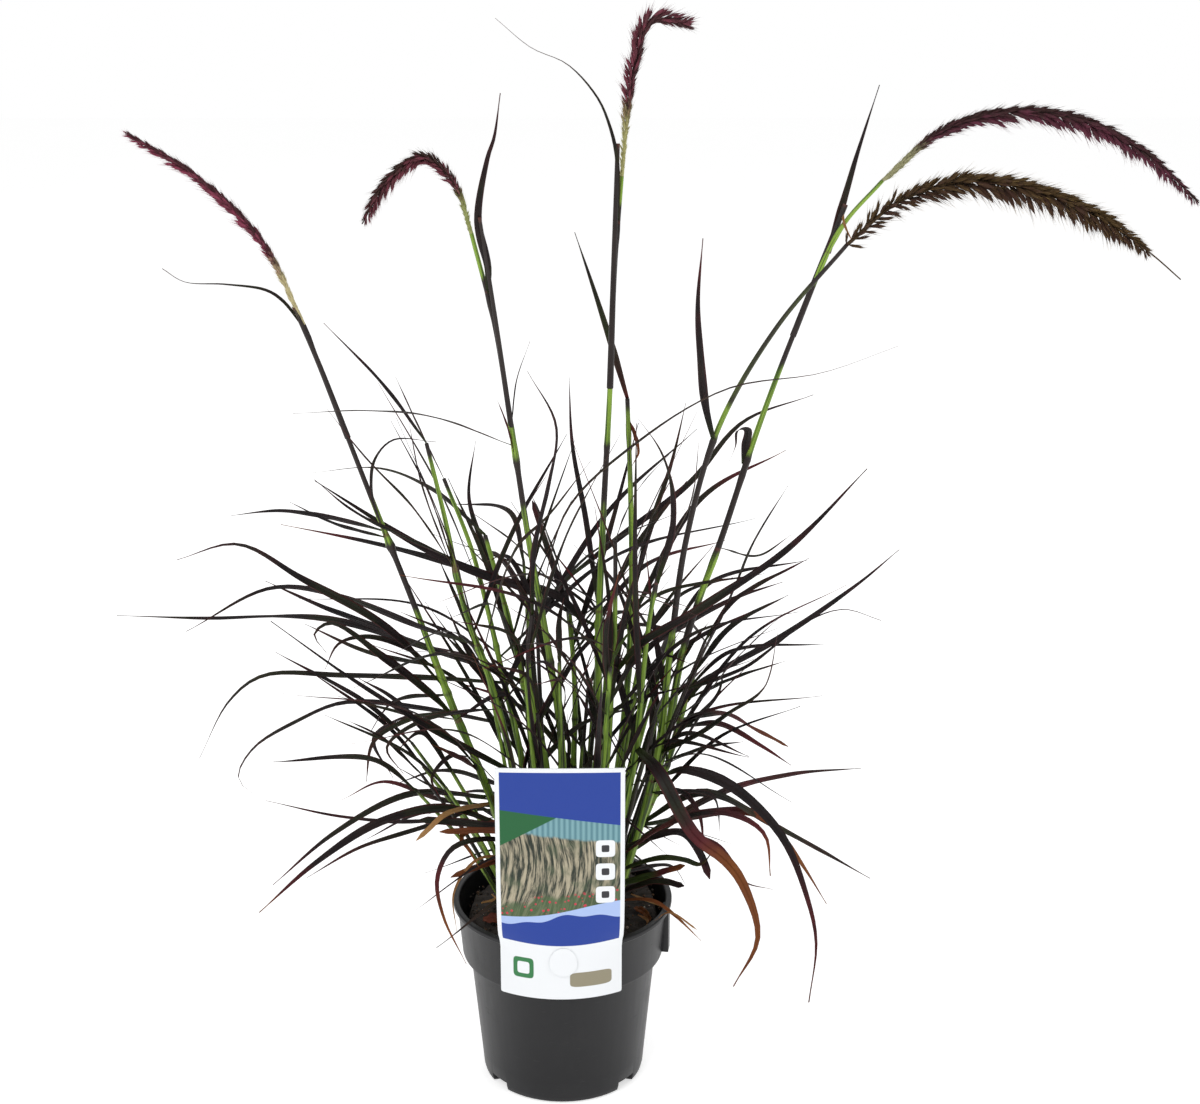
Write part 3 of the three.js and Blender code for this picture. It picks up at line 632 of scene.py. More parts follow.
# Smaller blades between the large ones
smallBlades = {
    "curl_1": {"stem": "culm_1", "height": 368, "width": 5, "twist": (40, 60, 20), "taper": 0.9,
        "through": [(-112, -14, 398), (-109, -18, 419), (-98, -18, 431), (-73, -12, 428)]},
    "slim_1": {"stem": "shoot_1", "height": 356, "width": 4,
        "through": [(-85, -50, 400), (-110, -65, 435), (-130, -70, 465)]},
    "slim_2": {"stem": "shoot_1", "height": 361, "width": 4,
        "through": [(-95, -40, 380), (-120, -55, 400), (-140, -60, 420)]},
    "slim_3": {"stem": "culm_1", "height": 366, "width": 3.5,
        "through": [(-135, -20, 380), (-160, -25, 395)]},
    "slim_4": {"stem": "culm_1", "height": 291, "width": 5,
        "through": [(-115, 15, 300), (-150, 25, 310), (-185, 30, 325)]},
    "slim_5": {"stem": "culm_1", "height": 280, "width": 4, "through": [(-120, 10, 285), (-160, 20, 300)]},
    "slim_6": {"stem": "culm_1", "height": 278, "width": 4, "twist": (20, 70, 30),
        "through": [(-96, -6, 295), (-119, -14, 305), (-135, -19, 302), (-143, -26, 288)]},
    "slim_7": {"stem": "culm_1", "height": 260, "width": 4, "through": [(-105, 15, 250), (-125, 25, 220)]},
    "curl_2": {"stem": "culm_1", "height": 250, "width": 4, "twist": (0, 80),
        "through": [(-95, -15, 250), (-115, -25, 240), (-120, -30, 215)]},
    "curl_3": {"stem": "culm_1", "height": 243, "width": 4, "twist": (0, -70),
        "through": [(-95, 15, 240), (-120, 25, 220), (-110, 40, 185)]},
    "curl_4": {"stem": "shoot_1", "height": 258, "width": 4, "twist": (0, 60),
        "through": [(-60, -30, 262), (-85, -40, 260), (-105, -45, 245), (-95, -50, 230)]},
    "low_1": {"stem": "shoot_2", "height": 190, "width": 4, "tone": (0.0, 0.1, 0.3),
        "through": [(-85, 40, 155), (-145, 65, 145), (-200, 80, 150)]},
    "low_2": {"stem": "culm_1", "height": 186, "width": 4, "tone": (0.0, 0.1, 0.3),
        "through": [(-85, -20, 180), (-125, -40, 175), (-155, -60, 165)]},
    "low_3": {"stem": "culm_1", "height": 180, "width": 3.5, "through": [(-90, 20, 170), (-130, 30, 145)]},
    "low_4": {"stem": "culm_1", "height": 182, "width": 4, "tone": (0.05, 0.2, 0.5),
        "through": [(-80, 20, 180), (-115, 35, 185), (-145, 50, 165)]},
    "low_5": {"stem": "culm_1", "height": 188, "width": 3.5,
        "through": [(-75, -20, 205), (-100, -40, 230)]},
    "low_6": {"stem": "shoot_1", "height": 200, "width": 4, "through": [(-75, 20, 200), (-110, 30, 185)]},
    "red_1": {"stem": "culm_1", "height": 208, "width": 6, "tone": (0.3, 0.32, 0.6), "twist": (40, 50),
        "through": [(-58, -10, 219), (-68, -25, 232), (-78, -40, 245)]},
    "curl_5": {"stem": "culm_1", "height": 218, "width": 3.5, "twist": (0, 60),
        "through": [(-70, -15, 225), (-80, -25, 215), (-75, -30, 205)]},
    "dry_1": {"stem": "shoot_4", "height": 152, "width": 2.5, "tone": (0.6, 0.8, 0.9), "twist": (0, 60),
        "through": [(-50, -44, 170), (-66, -50, 150), (-64, -62, 128)]},
    "cut_1": {"stem": "shoot_4", "height": 180, "width": 6, "tone": (0.4, 0.5, 0.62), "blunt": True,
        "through": [(-30, -44, 189), (-52, -48, 191), (-74, -52, 192)]},
    "cut_2": {"stem": "shoot_4", "height": 176, "width": 8, "tone": (0.0, 0.0, 0.05), "blunt": True,
        "through": [(-30, -38, 187), (-62, -43, 194), (-87, -48, 198)]},
    "cut_3": {"stem": "shoot_4", "height": 150, "width": 5.5, "tone": (0.3, 0.42, 0.6), "blunt": True,
        "through": [(-35, -40, 167), (-53, -45, 164), (-68, -50, 160)]},
    "dry_3": {"stem": "culm_1", "height": 186, "width": 4.5, "tone": (0.75, 0.85, 0.9), "blunt": True,
        "through": [(-72, -46, 200), (-80, -51, 194), (-88, -56, 188)]},
    "hang_1": {"stem": "shoot_4", "height": 172, "width": 6, "tone": (0.1, 0.4, 0.6, 0.6),
        "twist": (20, 60),
        "through": [(-36, -36, 190), (-61, -46, 186), (-56, -51, 179), (-50, -56, 170)]},
    "bent_1": {"stem": "culm_4", "height": 168, "width": 7, "twist": (20, 50),
        "tone": (0.0, 0.3, 0.66, 0.7),
        "through": [(120, 30, 166), (138, 30, 154), (158, 31, 124), (173, 32, 98)]},
    "bent_2": {"stem": "shoot_8", "height": 150, "width": 5, "olive": 0.5,
        "through": [(60, -32, 164), (76, -42, 168), (86, -52, 170), (96, -60, 190)]},
    "bent_3": {"stem": "shoot_8", "height": 166, "width": 7, "tone": (0.0, 0.1, 0.2), "blunt": True,
        "through": [(75, -37, 184), (86, -48, 174), (91, -60, 164)]},
    "cut_4": {"stem": "shoot_8", "height": 140, "width": 6, "tone": (0.0, 0.1, 0.7), "blunt": True,
        "olive": 0.6,
        "through": [(62, -28, 152), (77, -34, 160)]},
    "cut_5": {"stem": "shoot_8", "height": 133, "width": 6, "tone": (0.0, 0.05, 0.2), "blunt": True,
        "through": [(58, -32, 148), (76, -50, 154)]},
    "dry_2": {"stem": "shoot_8", "height": 130, "width": 3, "tone": (0.5, 0.65, 0.8), "twist": (0, 60),
        "through": [(56, -42, 140), (70, -58, 138), (86, -72, 128)]},
    "low_7": {"stem": "shoot_10", "height": 128, "width": 3.5, "through": [(70, 40, 122), (82, 52, 100)]},
    "low_8": {"stem": "culm_5", "height": 198, "width": 4, "tone": (0.0, 0.15, 0.3),
        "through": [(75, -25, 206), (85, -35, 196), (88, -42, 176)]},
    "low_9": {"stem": "culm_4", "height": 190, "width": 4, "through": [(95, 10, 187), (101, 10, 160)]},
    "low_10": {"stem": "shoot_10", "height": 140, "width": 4, "tone": (0.1, 0.3, 0.5),
        "through": [(80, 50, 156), (106, 60, 150)]},
    "mid_1": {"stem": "shoot_7", "height": 270, "width": 5,
        "through": [(75, 65, 280), (110, 90, 290), (145, 110, 295)]},
    "mid_2": {"stem": "culm_5", "height": 245, "width": 4,
        "through": [(84, -32, 270), (105, -60, 310), (130, -90, 350)]},
    "mid_3": {"stem": "shoot_10", "height": 226, "width": 5.5, "tone": (0.0, 0.4, 0.6), "blunt": True,
        "through": [(105, 60, 222), (125, 75, 205), (150, 90, 185)]},
    "mid_4": {"stem": "shoot_10", "height": 238, "width": 4, "through": [(110, 30, 260), (140, 20, 275)]},
    "mid_5": {"stem": "shoot_10", "height": 222, "width": 5, "tone": (0.0, 0.25, 0.3),
        "through": [(100, 25, 230), (125, 15, 220), (145, 10, 208)]},
    "mid_6": {"stem": "culm_5", "height": 236, "width": 6, "twist": (0, 40),
        "through": [(80, -40, 264), (105, -60, 280)]},
    "mid_7": {"stem": "culm_4", "height": 212, "width": 4, "through": [(92, -10, 230), (112, -25, 240)]},
    "mid_8": {"stem": "shoot_10", "height": 218, "width": 3.5, "through": [(100, 60, 235), (105, 70, 250)]},
    "mid_9": {"stem": "culm_4", "height": 350, "width": 2.5, "through": [(125, 50, 335), (145, 60, 345)]},
    "low_11": {"stem": "culm_4", "height": 168, "width": 3, "twist": (0, 40), "tone": (0.1, 0.25, 0.4),
        "through": [(96, -10, 164), (107, -13, 153), (115, -17, 140), (133, -20, 136)]},
    "arc_1": {"stem": "shoot_8", "height": 352, "width": 5, "twist": (10, 50),
        "through": [(66, -70, 400), (60, -85, 440), (40, -100, 475)]},
    "arc_2": {"stem": "shoot_7", "height": 308, "width": 4, "twist": (0, 50),
        "through": [(56, 75, 345), (70, 105, 378), (80, 130, 412)]},
    "arc_3": {"stem": "shoot_8", "width": 4, "twist": (30, 60),
        "through": [(76, -70, 410), (80, -80, 455)]},
    "arc_4": {"stem": "shoot_4", "width": 4, "twist": (20, 60),
        "through": [(-14, -70, 380), (-5, -90, 425), (0, -105, 465), (-15, -120, 500)]},
    "arc_5": {"stem": "shoot_5", "height": 300, "width": 5, "blunt": True,
        "through": [(-10, 80, 330), (-20, 100, 355)]},
    "arc_6": {"stem": "shoot_3", "height": 308, "width": 4, "twist": (0, 50),
        "through": [(-50, 65, 335), (-60, 85, 362), (-56, 100, 395)]},
    "arc_7": {"stem": "shoot_5", "height": 306, "width": 4, "through": [(-25, 20, 350), (-55, -10, 385)]},
    "arc_8": {"stem": "shoot_1", "height": 358, "width": 4, "twist": (10, 60),
        "through": [(-76, -50, 410), (-95, -60, 455)]},
    "arc_9": {"stem": "shoot_1", "height": 352, "width": 3.5, "twist": (30, 60),
        "through": [(-80, -40, 410), (-86, -48, 452)]},
    "arc_10": {"stem": "shoot_6", "width": 3.5, "through": [(45, -58, 412), (65, -70, 440)]},
    "arc_11": {"stem": "shoot_2", "width": 4, "twist": (20, 50),
        "through": [(-88, 26, 430), (-98, 10, 462)]},
    "hook_1": {"stem": "culm_4", "height": 402, "width": 6, "twist": (-30, -30, -60), "taper": 2.0,
        "through": [(113, 28, 414), (114, 24, 424), (111, 20, 427), (107, 17, 426), (106, 14, 418),
        (102, 10, 409)]},
    "broad_1": {"stem": "culm_3", "height": 288, "width": 7, "twist": (40, 50), "tone": (0.0, 0.0, 0.1),
        "through": [(-1, 22, 317), (-40, 16, 331), (-78, 8, 351), (-108, 0, 373), (-146, -12, 404)]},
    "broad_2": {"stem": "shoot_1", "height": 296, "width": 5, "twist": (30, 40), "tone": (0.1, 0.14, 0.2),
        "through": [(-36, -30, 341), (-24, -40, 373), (-7, -45, 392), (19, -55, 430)]},
    "broad_3": {"stem": "shoot_5", "height": 290, "width": 5, "twist": (50, 60), "blunt": True,
        "through": [(0, 24, 331), (-8, 20, 358), (-17, 14, 385)]},
    "young_1": {"stem": "culm_2", "height": 428, "width": 3.5, "tone": (0.3, 0.3, 0.4), "twist": (50, 70),
        "through": [(-30, -38, 446), (-35, -42, 462)]},
    "hair_1": {"stem": "culm_2", "height": 448, "width": 2.5, "twist": (50, 70), "taper": 0.7,
        "through": [(-24, -34, 472), (-16, -38, 496)]},
    "torn_1": {"stem": "shoot_7", "height": 420, "width": 4, "tone": (0.45, 0.55, 0.6), "twist": (60, 70),
        "through": [(46, 56, 412), (48, 52, 402), (44, 50, 394)]},
    "torn_2": {"stem": "culm_4", "height": 548, "width": 2.5, "tone": (0.7, 0.8, 0.7), "twist": (60, 70),
        "through": [(168, 34, 554), (169, 28, 549), (173, 18, 541)]},
    "young_2": {"stem": "shoot_9", "width": 4, "olive": 0.7, "twist": (60, 60),
        "through": [(36, -70, 322), (44, -76, 336)]},
}

# Blades that fill the heart, the sides and the back, drawn from the seeded dice.
# Rise is how far a blade climbs for each millimetre that it reaches out.
fillBlades = {
    "upright": {"count": 44, "heights": (170, 335), "reach": (25, 95), "rise": (1.2, 2.8),
        "widths": (3.2, 5.4)},
    "arching": {"count": 42, "heights": (180, 310), "reach": (90, 175), "rise": (0.2, 0.75),
        "widths": (3.2, 5)},
    "falling": {"count": 16, "heights": (135, 190), "reach": (60, 120), "rise": (-0.35, 0.0),
        "widths": (3.2, 5)},
}
fillRoom = {"left": -215, "right": 225, "front": -125, "back": 200, "top": 470, "aboveLabel": 320,
            "behindLabel": -48}


tonePurple = (0.02, 0.06, 0.22)


def stemPath(name):
    return Path(asVectors(stems[name]["through"]))


stemPaths = {name: stemPath(name) for name in stems}


def stemRadiusAt(name, share):
    foot, top = stems[name]["radius"]
    return (foot + (top - foot) * share) * mm


def bladePath(spec):
    path = stemPaths[spec["stem"]]
    points = asVectors(spec["through"])
    if "height" not in spec:
        return Path([path.at(1)] + points)
    share = path.shareAtHeight(spec["height"] * mm)
    centre = path.at(share)
    outward = points[0] - centre
    outward.z = 0
    seat = centre + outward.normalized() * (stemRadiusAt(spec["stem"], share) * 0.8)
    return Path([seat] + points)


def spreadTone(stops, along):
    return np.interp(along, np.linspace(0, 1, len(stops)), stops)


bladeMaster = modelBlade(bladeShape)
bladeMaterial = bladeFinish()


def makeBlade(name, spec, replaced=None):
    path = bladePath(spec)
    blunt = spec.get("blunt", False)
    mesh, along = layBlade(bladeMaster, path, spec["width"], spec.get("twist", (20, 35)), blunt,
                           spec.get("taper", 2.5), wave=0.06 + 0.08 * dice.random(), phase=dice.random() * 6,
                           fold=0.8 + 0.7 * dice.random())
    tone = spreadTone(spec.get("tone", tonePurple), along) + dice.uniform(-0.02, 0.06)
    olive = spec.get("olive", dice.choice((0.0, 0.05, 0.18, 0.3)))
    green = np.maximum(spec.get("green", 0.55) * np.clip(1 - along * 4, 0, 1), olive)
    addAttribute(mesh, "tone", tone)
    addAttribute(mesh, "green", green)
    blade = newObject(name, mesh)
    settle(blade, name, bladeMaterial, *([replaced] if replaced else []), slot="blade")


def makeFillBlades(group, settings):
    names = [name for name in stems if name.startswith("shoot")] + ["culm_2", "culm_3", "culm_5"]
    for i in range(settings["count"]):
        stem = names[i % len(names)]
        top = stems[stem]["through"][-1][2]
        low, high = settings["heights"]
        height = dice.uniform(min(low, 0.6 * top), min(high, top - 12))
        path = stemPaths[stem]
        base = path.at(path.shareAtHeight(height * mm)) / mm
        azimuth = math.radians((90, -90, 0, 180)[i % 4] + dice.uniform(-48, 48))
        reach = dice.uniform(*settings["reach"])
        rise = dice.uniform(*settings["rise"])
        ahead = Vector((math.cos(azimuth), math.sin(azimuth), 0))
        tip = base + ahead * reach + Vector((0, 0, reach * rise))
        tip.x = min(max(tip.x, fillRoom["left"]), fillRoom["right"])
        tip.y = min(max(tip.y, fillRoom["front"]), fillRoom["back"])
        tip.z = min(tip.z, fillRoom["top"])
        if tip.y < -50 and abs(tip.x) < 75:
            tip.z = max(tip.z, fillRoom["aboveLabel"])
        swell = 0.1 * reach if rise > 1 else 0.16 * reach
        sway = ahead.cross(Vector((0, 0, 1))) * dice.uniform(-6, 6)
        middle = base.lerp(tip, 0.45) + Vector((0, 0, swell)) + sway
        tone = (0.02, 0.07, dice.choice((0.12, 0.16, 0.3, 0.55)))
        spec = {"stem": stem, "height": height, "width": dice.uniform(*settings["widths"]), "tone": tone,
                "through": [tuple(middle), tuple(tip)], "taper": dice.uniform(1.2, 2.6),
                "twist": (dice.uniform(-10, 40), dice.uniform(-20, 60))}
        makeBlade(f"fill_{group}_{i + 1}", spec)


for name, spec in largeBlades.items():
    makeBlade("leaf_" + name, spec, "blade_" + name)
for name, spec in smallBlades.items():
    makeBlade("small_" + name, spec)
for group, settings in fillBlades.items():
    makeFillBlades(group, settings)
fillCount = sum(settings["count"] for settings in fillBlades.values())
print("blades made:", len(largeBlades), len(smallBlades), fillCount)


# Culms and shoots: one tube, laid along each path with its nodes and sheath mouths
tubeShape = {"sides": 12, "cuts": 130}
stemDetail = {
    "leastGreen": 0.05,
    "greenFade": 12,
    "nodeDark": 0.5,
    "nodeDarkReach": 1.8,
    "nodeSwell": 0.55,
    "nodeReach": 2.2,
    "mouthSwell": 0.35,
    "mouthReach": 8,
    "mouthDrop": 7,
}


def modelTube(shape):
    selectNothing()
    bpy.ops.mesh.primitive_cylinder_add(vertices=shape["sides"], radius=1, depth=2, end_fill_type="NGON")
    tube = bpy.context.object
    startEditing("EDGE")
    corners = tube.data.vertices
    pick(tube, "edges", lambda e: abs(corners[e.vertices[0]].co.z - corners[e.vertices[1]].co.z) > 1)
    bpy.ops.mesh.subdivide(number_cuts=shape["cuts"])
    selectNothing()
    mesh = tube.data
    bpy.data.objects.remove(tube)
    return mesh


def mouthsOf(stemName):
    every = list(largeBlades.values()) + list(smallBlades.values())
    return sorted(spec["height"] for spec in every if spec["stem"] == stemName and "height" in spec)


# The tube laid along a path, with its radius in metres worked out for each share of the length
def layTube(path, radiusAt):
    mesh = tubeMaster.copy()
    rest = vertexArray(mesh)
    levels, level = np.unique(np.round((rest[:, 2] + 1) / 2, 5), return_inverse=True)
    placed = np.empty_like(rest)
    rings = []
    for share in levels:
        tangent = path.heading(share)
        side = tangent.cross(Vector((0, 1, 0.01))).normalized()
        rings.append((path.at(share), side, tangent.cross(side), radiusAt(share)))
    for i, (x, y, z) in enumerate(rest):
        centre, side, front, radius = rings[level[i]]
        placed[i] = centre + side * (x * radius) + front * (y * radius)
    mesh.vertices.foreach_set("co", placed.ravel())
    mesh.update()
    smoothFaces(mesh)
    addAttribute(mesh, "shift", np.full(len(rest), dice.random()))
    return mesh, levels, level


# One at any of the places, falling to nothing past the reach
def nearest(height, places, reach):
    return max([math.exp(-((height - place) / reach) ** 2) for place in places] + [0])


def liveGreen(spec, height):
    detail = stemDetail
    amounts = [detail["leastGreen"]]
    for low, high, strength in spec["greens"]:
        amounts.append(strength * np.clip(min(height - low, high - height) / detail["greenFade"] + 0.5, 0, 1))
    joint = nearest(height, spec["nodes"], detail["nodeDarkReach"])
    return max(amounts) * (1 - detail["nodeDark"] * joint)


def makeStem(name, spec, material, *replaced):
    path = stemPaths[name]
    mouths = mouthsOf(name)
    detail = stemDetail

    def radiusAt(share):
        height = path.at(share).z / mm
        radius = stemRadiusAt(name, share) / mm
        for mouth in mouths:
            near = max(0, 1 - abs(height - mouth + detail["mouthDrop"]) / detail["mouthReach"])
            radius += detail["mouthSwell"] * near
        for node in spec["nodes"]:
            radius += detail["nodeSwell"] * math.exp(-((height - node) / detail["nodeReach"]) ** 2)
        return radius * mm

    mesh, levels, level = layTube(path, radiusAt)
    heights = [path.at(share).z / mm for share in levels]
    greens = np.array([liveGreen(spec, height) for height in heights])
    lips = np.array([nearest(height, mouths, detail["nodeDarkReach"]) for height in heights])
    addAttribute(mesh, "green", greens[level])
    addAttribute(mesh, "tone", lips[level])
    stem = newObject("stem_" + name, mesh)
    settle(stem, "stem_" + name, material, *replaced, slot="culm")


# Dark sheaths that stand beside the thin green tops of the culms, up to the flag leaves
sheaths = {
    "sheath_1": {"stem": "culm_1", "height": 430, "radii": (1.9, 1.3),
        "through": [(-141, -14, 478), (-153, -17, 511)]},
    "sheath_2": {"stem": "culm_2", "height": 440, "radii": (1.7, 1.0),
        "through": [(-35.5, -42, 510), (-43, -51, 570)]},
    "sheath_3": {"stem": "culm_3", "height": 448, "radii": (2.1, 1.3),
        "through": [(32.2, 40.5, 519), (34.5, 45, 595)]},
    "sheath_4": {"stem": "culm_4", "height": 480, "radii": (2.0, 1.6),
        "through": [(156, 43, 520), (171, 49, 558)]},
}


def makeSheath(name, spec, material):
    share = stemPaths[spec["stem"]].shareAtHeight(spec["height"] * mm)
    path = Path([stemPaths[spec["stem"]].at(share)] + asVectors(spec["through"]))
    foot, mouth = spec["radii"]
    mesh, levels, level = layTube(path, lambda share: (foot + (mouth - foot) * share) * mm)
    addAttribute(mesh, "green", levels[level] * 0.1)
    addAttribute(mesh, "tone", np.clip(levels[level] * 12 - 11, 0, 1))
    settle(newObject(name, mesh), name, material, slot="culm")


tubeMaster = modelTube(tubeShape)
culmMaterial = culmFinish()
for name, spec in stems.items():
    makeStem(name, spec, culmMaterial, name)
for name, spec in sheaths.items():
    makeSheath(name, spec, culmMaterial)
print("stems made:", len(stems), "sheaths:", len(sheaths))


# Plumes: one bristly tuft, copied in a spiral along each plume's axis
tuftShape = {
    "bodyLength": 9.0,
    "bodyWidth": 1.6,
    "bristles": 9,
    "shortest": 8.0,
    "longest": 14.0,
    "thickness": 0.42,
    "spread": 11,
}

# Leans are from the axis in degrees: on the pressed side and on the open side, less at the foot.
# Fullness runs along the plume, and crowding below 1 thins the foot.
plumes = {
    "plume_1": {"stem": "culm_1", "tufts": 380, "size": 1.0, "lean": (5, 15), "open": (-0.6, 0, -0.8),
        "fullness": (0.45, 0.7, 0.95, 1.0, 0.95, 0.8, 0.5), "crowding": 1.0, "footReach": 0.32,
        "footLean": 0.6, "fringeFrom": 0.6,
        "colours": {"core": (0.02, 0.008, 0.009), "body": (0.06, 0.02, 0.024), "under": (0.26, 0.05, 0.09),
        "fringe": (0.3, 0.1, 0.12), "foot": (0.5, 0.44, 0.24)},
        "through": [(-168, -25, 550), (-200, -35, 588), (-238, -45, 616)]},
    "plume_2": {"stem": "culm_2", "tufts": 250, "size": 0.95, "lean": (14, 32), "open": (0.3, 0, -0.9),
        "fullness": (0.4, 0.55, 0.75, 1.0, 1.05, 1.0, 0.45), "crowding": 1.0, "footReach": 0.28,
        "footLean": 0.5, "fringeFrom": 0.55,
        "colours": {"core": (0.02, 0.009, 0.008), "body": (0.04, 0.02, 0.016), "under": (0.17, 0.04, 0.06),
        "fringe": (0.15, 0.09, 0.065), "foot": (0.3, 0.33, 0.12)},
        "through": [(-57, -53, 590), (-74, -60, 605), (-93, -68, 592), (-106, -75, 571)]},
    "plume_3": {"stem": "culm_3", "tufts": 240, "size": 1.1, "lean": (9, 34), "open": (-0.6, 0, 0.8),
        "fullness": (0.35, 0.5, 0.7, 0.9, 1.05, 1.05, 0.8), "crowding": 1.0, "footReach": 0.4,
        "footLean": 0.6, "fringeFrom": 0.6,
        "colours": {"core": (0.02, 0.01, 0.009), "body": (0.06, 0.024, 0.026), "under": (0.17, 0.04, 0.06),
        "fringe": (0.17, 0.09, 0.085), "foot": (0.42, 0.4, 0.17)},
        "through": [(40, 54, 607), (44, 60, 636), (54, 65, 664), (77, 70, 661)]},
    "plume_4": {"stem": "culm_4", "tufts": 400, "size": 1.4, "lean": (9, 36), "open": (-0.2, 0, -1),
        "fullness": (0.5, 0.75, 0.95, 1.0, 0.95, 0.75, 0.35), "crowding": 0.95, "footReach": 0.15,
        "footLean": 0.35, "fringeFrom": 0.6,
        "colours": {"core": (0.013, 0.007, 0.006), "body": (0.04, 0.017, 0.016),
        "under": (0.11, 0.025, 0.045), "fringe": (0.22, 0.07, 0.09), "foot": (0.3, 0.29, 0.16)},
        "through": [(226, 51, 601), (268, 57, 612), (311, 63, 606), (353, 69, 585), (389, 75, 554)]},
    "plume_5": {"stem": "culm_5", "tufts": 330, "size": 1.42, "lean": (22, 46), "open": (-0.3, 0, -1),
        "fullness": (0.8, 0.8, 0.95, 1.05, 1.0, 0.85, 0.4), "crowding": 0.72, "footReach": 0.01,
        "footLean": 1.2, "fringeFrom": 0.58,
        "colours": {"core": (0.016, 0.008, 0.005), "body": (0.07, 0.04, 0.013),
        "under": (0.05, 0.022, 0.014), "fringe": (0.6, 0.4, 0.14), "foot": (0.03, 0.015, 0.01)},
        "through": [(192, -40, 577), (226, -46, 589), (262, -53, 586), (298, -61, 573), (328, -67, 553)]},
}
whisker = (345, -70, 539)


def modelTuft(shape):
    selectNothing()
    bpy.ops.mesh.primitive_ico_sphere_add(subdivisions=1, radius=0.5, location=(0, 0, 0))
    body = bpy.context.object
    bpy.ops.transform.resize(value=(shape["bodyWidth"], shape["bodyWidth"], shape["bodyLength"]))
    bpy.ops.transform.translate(value=(0, 0, shape["bodyLength"] / 2))
    parts = [body]
    for k in range(shape["bristles"]):
        length = dice.uniform(shape["shortest"], shape["longest"])
        lean = math.radians(shape["spread"]) * dice.random()
        around = 2 * math.pi * k / shape["bristles"]
        aim = Vector((math.sin(lean) * math.cos(around), math.sin(lean) * math.sin(around), math.cos(lean)))
        turn = aim.to_track_quat("Z", "Y").to_euler()
        bpy.ops.mesh.primitive_cone_add(vertices=3, radius1=shape["thickness"] / 2, radius2=0, depth=length,
                                        location=aim * length / 2, rotation=turn)
        parts.append(bpy.context.object)
    selectNothing()
    for part in parts:
        part.select_set(True)
    bpy.context.view_layer.objects.active = body
    bpy.ops.object.join()
    applyPlace()
    mesh = body.data
    bpy.data.objects.remove(body)
    return mesh


def makePlume(name, spec, master, longest):
    stemEnd = stemPaths[spec["stem"]].at(1)
    path = Path([stemEnd] + asVectors(spec["through"]))
    openSide = Vector(spec["open"]).normalized()
    matrices = []
    feet = []
    shades = []
    for k in range(spec["tufts"]):
        share = ((k + dice.random()) / spec["tufts"]) ** spec["crowding"]
        tangent = path.heading(share)
        side = tangent.cross(Vector((0, 1, 0.01))).normalized()
        front = tangent.cross(side)
        around = k * goldenTurn + dice.uniform(-0.4, 0.4)
        outward = side * math.cos(around) + front * math.sin(around)
        facing = 0.5 + 0.5 * outward.dot(openSide)
        pressed, opened = spec["lean"]
        gather = np.interp(share, (0, 0.35), (spec["footLean"], 1))
        lean = math.radians((pressed + (opened - pressed) * facing + dice.uniform(-9, 11)) * gather)
        aim = tangent * math.cos(lean) + outward * math.sin(lean)
        fullness = np.interp(share, np.linspace(0, 1, len(spec["fullness"])), spec["fullness"])
        size = spec["size"] * fullness * dice.uniform(0.8, 1.12) * (0.85 + 0.25 * facing) * mm
        turn = aim.to_track_quat("Z", "Y").to_matrix().to_4x4()
        spinning = Matrix.Rotation(dice.uniform(0, 2 * math.pi), 4, "Z")
        back = min(share * path.total(), 3 * mm)
        centre = path.at(share) - tangent * back + outward * 0.5 * mm
        matrices.append(Matrix.Translation(centre) @ turn @ spinning @ Matrix.Scale(size, 4))
        feet.append(min(1, max(0, 1.35 - share / spec["footReach"])))
        shades.append(0.6 * facing + 0.5 * dice.random())
    mesh = scatter(name, master, matrices)
    reach = np.tile(vertexArray(master)[:, 2] / longest, len(matrices))
    addAttribute(mesh, "tone", reach)
    addAttribute(mesh, "green", np.repeat(feet, len(master.vertices)))
    addAttribute(mesh, "shade", np.repeat(shades, len(master.vertices)))
    plume = newObject(name, mesh)
    material = plumeFinish(name + "_bristle", spec["colours"], spec["fringeFrom"])
    settle(plume, "bristles_" + name, material, name, slot="plume")
    makeAxis(name, spec, stemEnd, material)


# The thin axis that a plume's tufts grow from
def makeAxis(name, spec, stemEnd, material):
    points = [stemEnd] + asVectors(spec["through"])
    if name == "plume_5":
        points += asVectors([whisker])
    path = Path(points)
    mesh, levels, level = layTube(path, lambda share: (1.15 - 0.8 * share) * mm)
    addAttribute(mesh, "tone", levels[level] * 0 + 0.2)
    addAttribute(mesh, "green", np.clip(1.35 - levels[level] / spec["footReach"], 0, 1))
    addAttribute(mesh, "shade", levels[level] * 0)
    settle(newObject("axis_" + name, mesh), "axis_" + name, material, slot="plume")


tuftMaster = modelTuft(tuftShape)
for name, spec in plumes.items():
    makePlume(name, spec, tuftMaster, tuftShape["longest"])
print("plumes made:", len(plumes))


# Pot: one profile raised ring by ring from its base, notched below, with a moulded lug
potShape = {
    "steps": 96,
    "profile": [
        (47, 0), (51.2, 1.2), (52, 4.5), (53, 16), (59.5, 84), (64.1, 85), (64.5, 86.4), (67.3, 118.4),
        (69.6, 118.7), (70, 119.2), (70, 121.4), (69.4, 122), (66.8, 122), (66.1, 121.4), (66, 119),
        (63, 86.3), (58.2, 85), (50.7, 5), (49.2, 3), (30, 3),
    ],
    "notches": [38, 142, 218, 322],
    "notchSize": (14, 15, 7),
    "lugAzimuth": -8,
    "lugSize": (4.4, 9, 31),
    "lugPlace": (66.7, 103.5),
    "softEdge": 0.35,
}


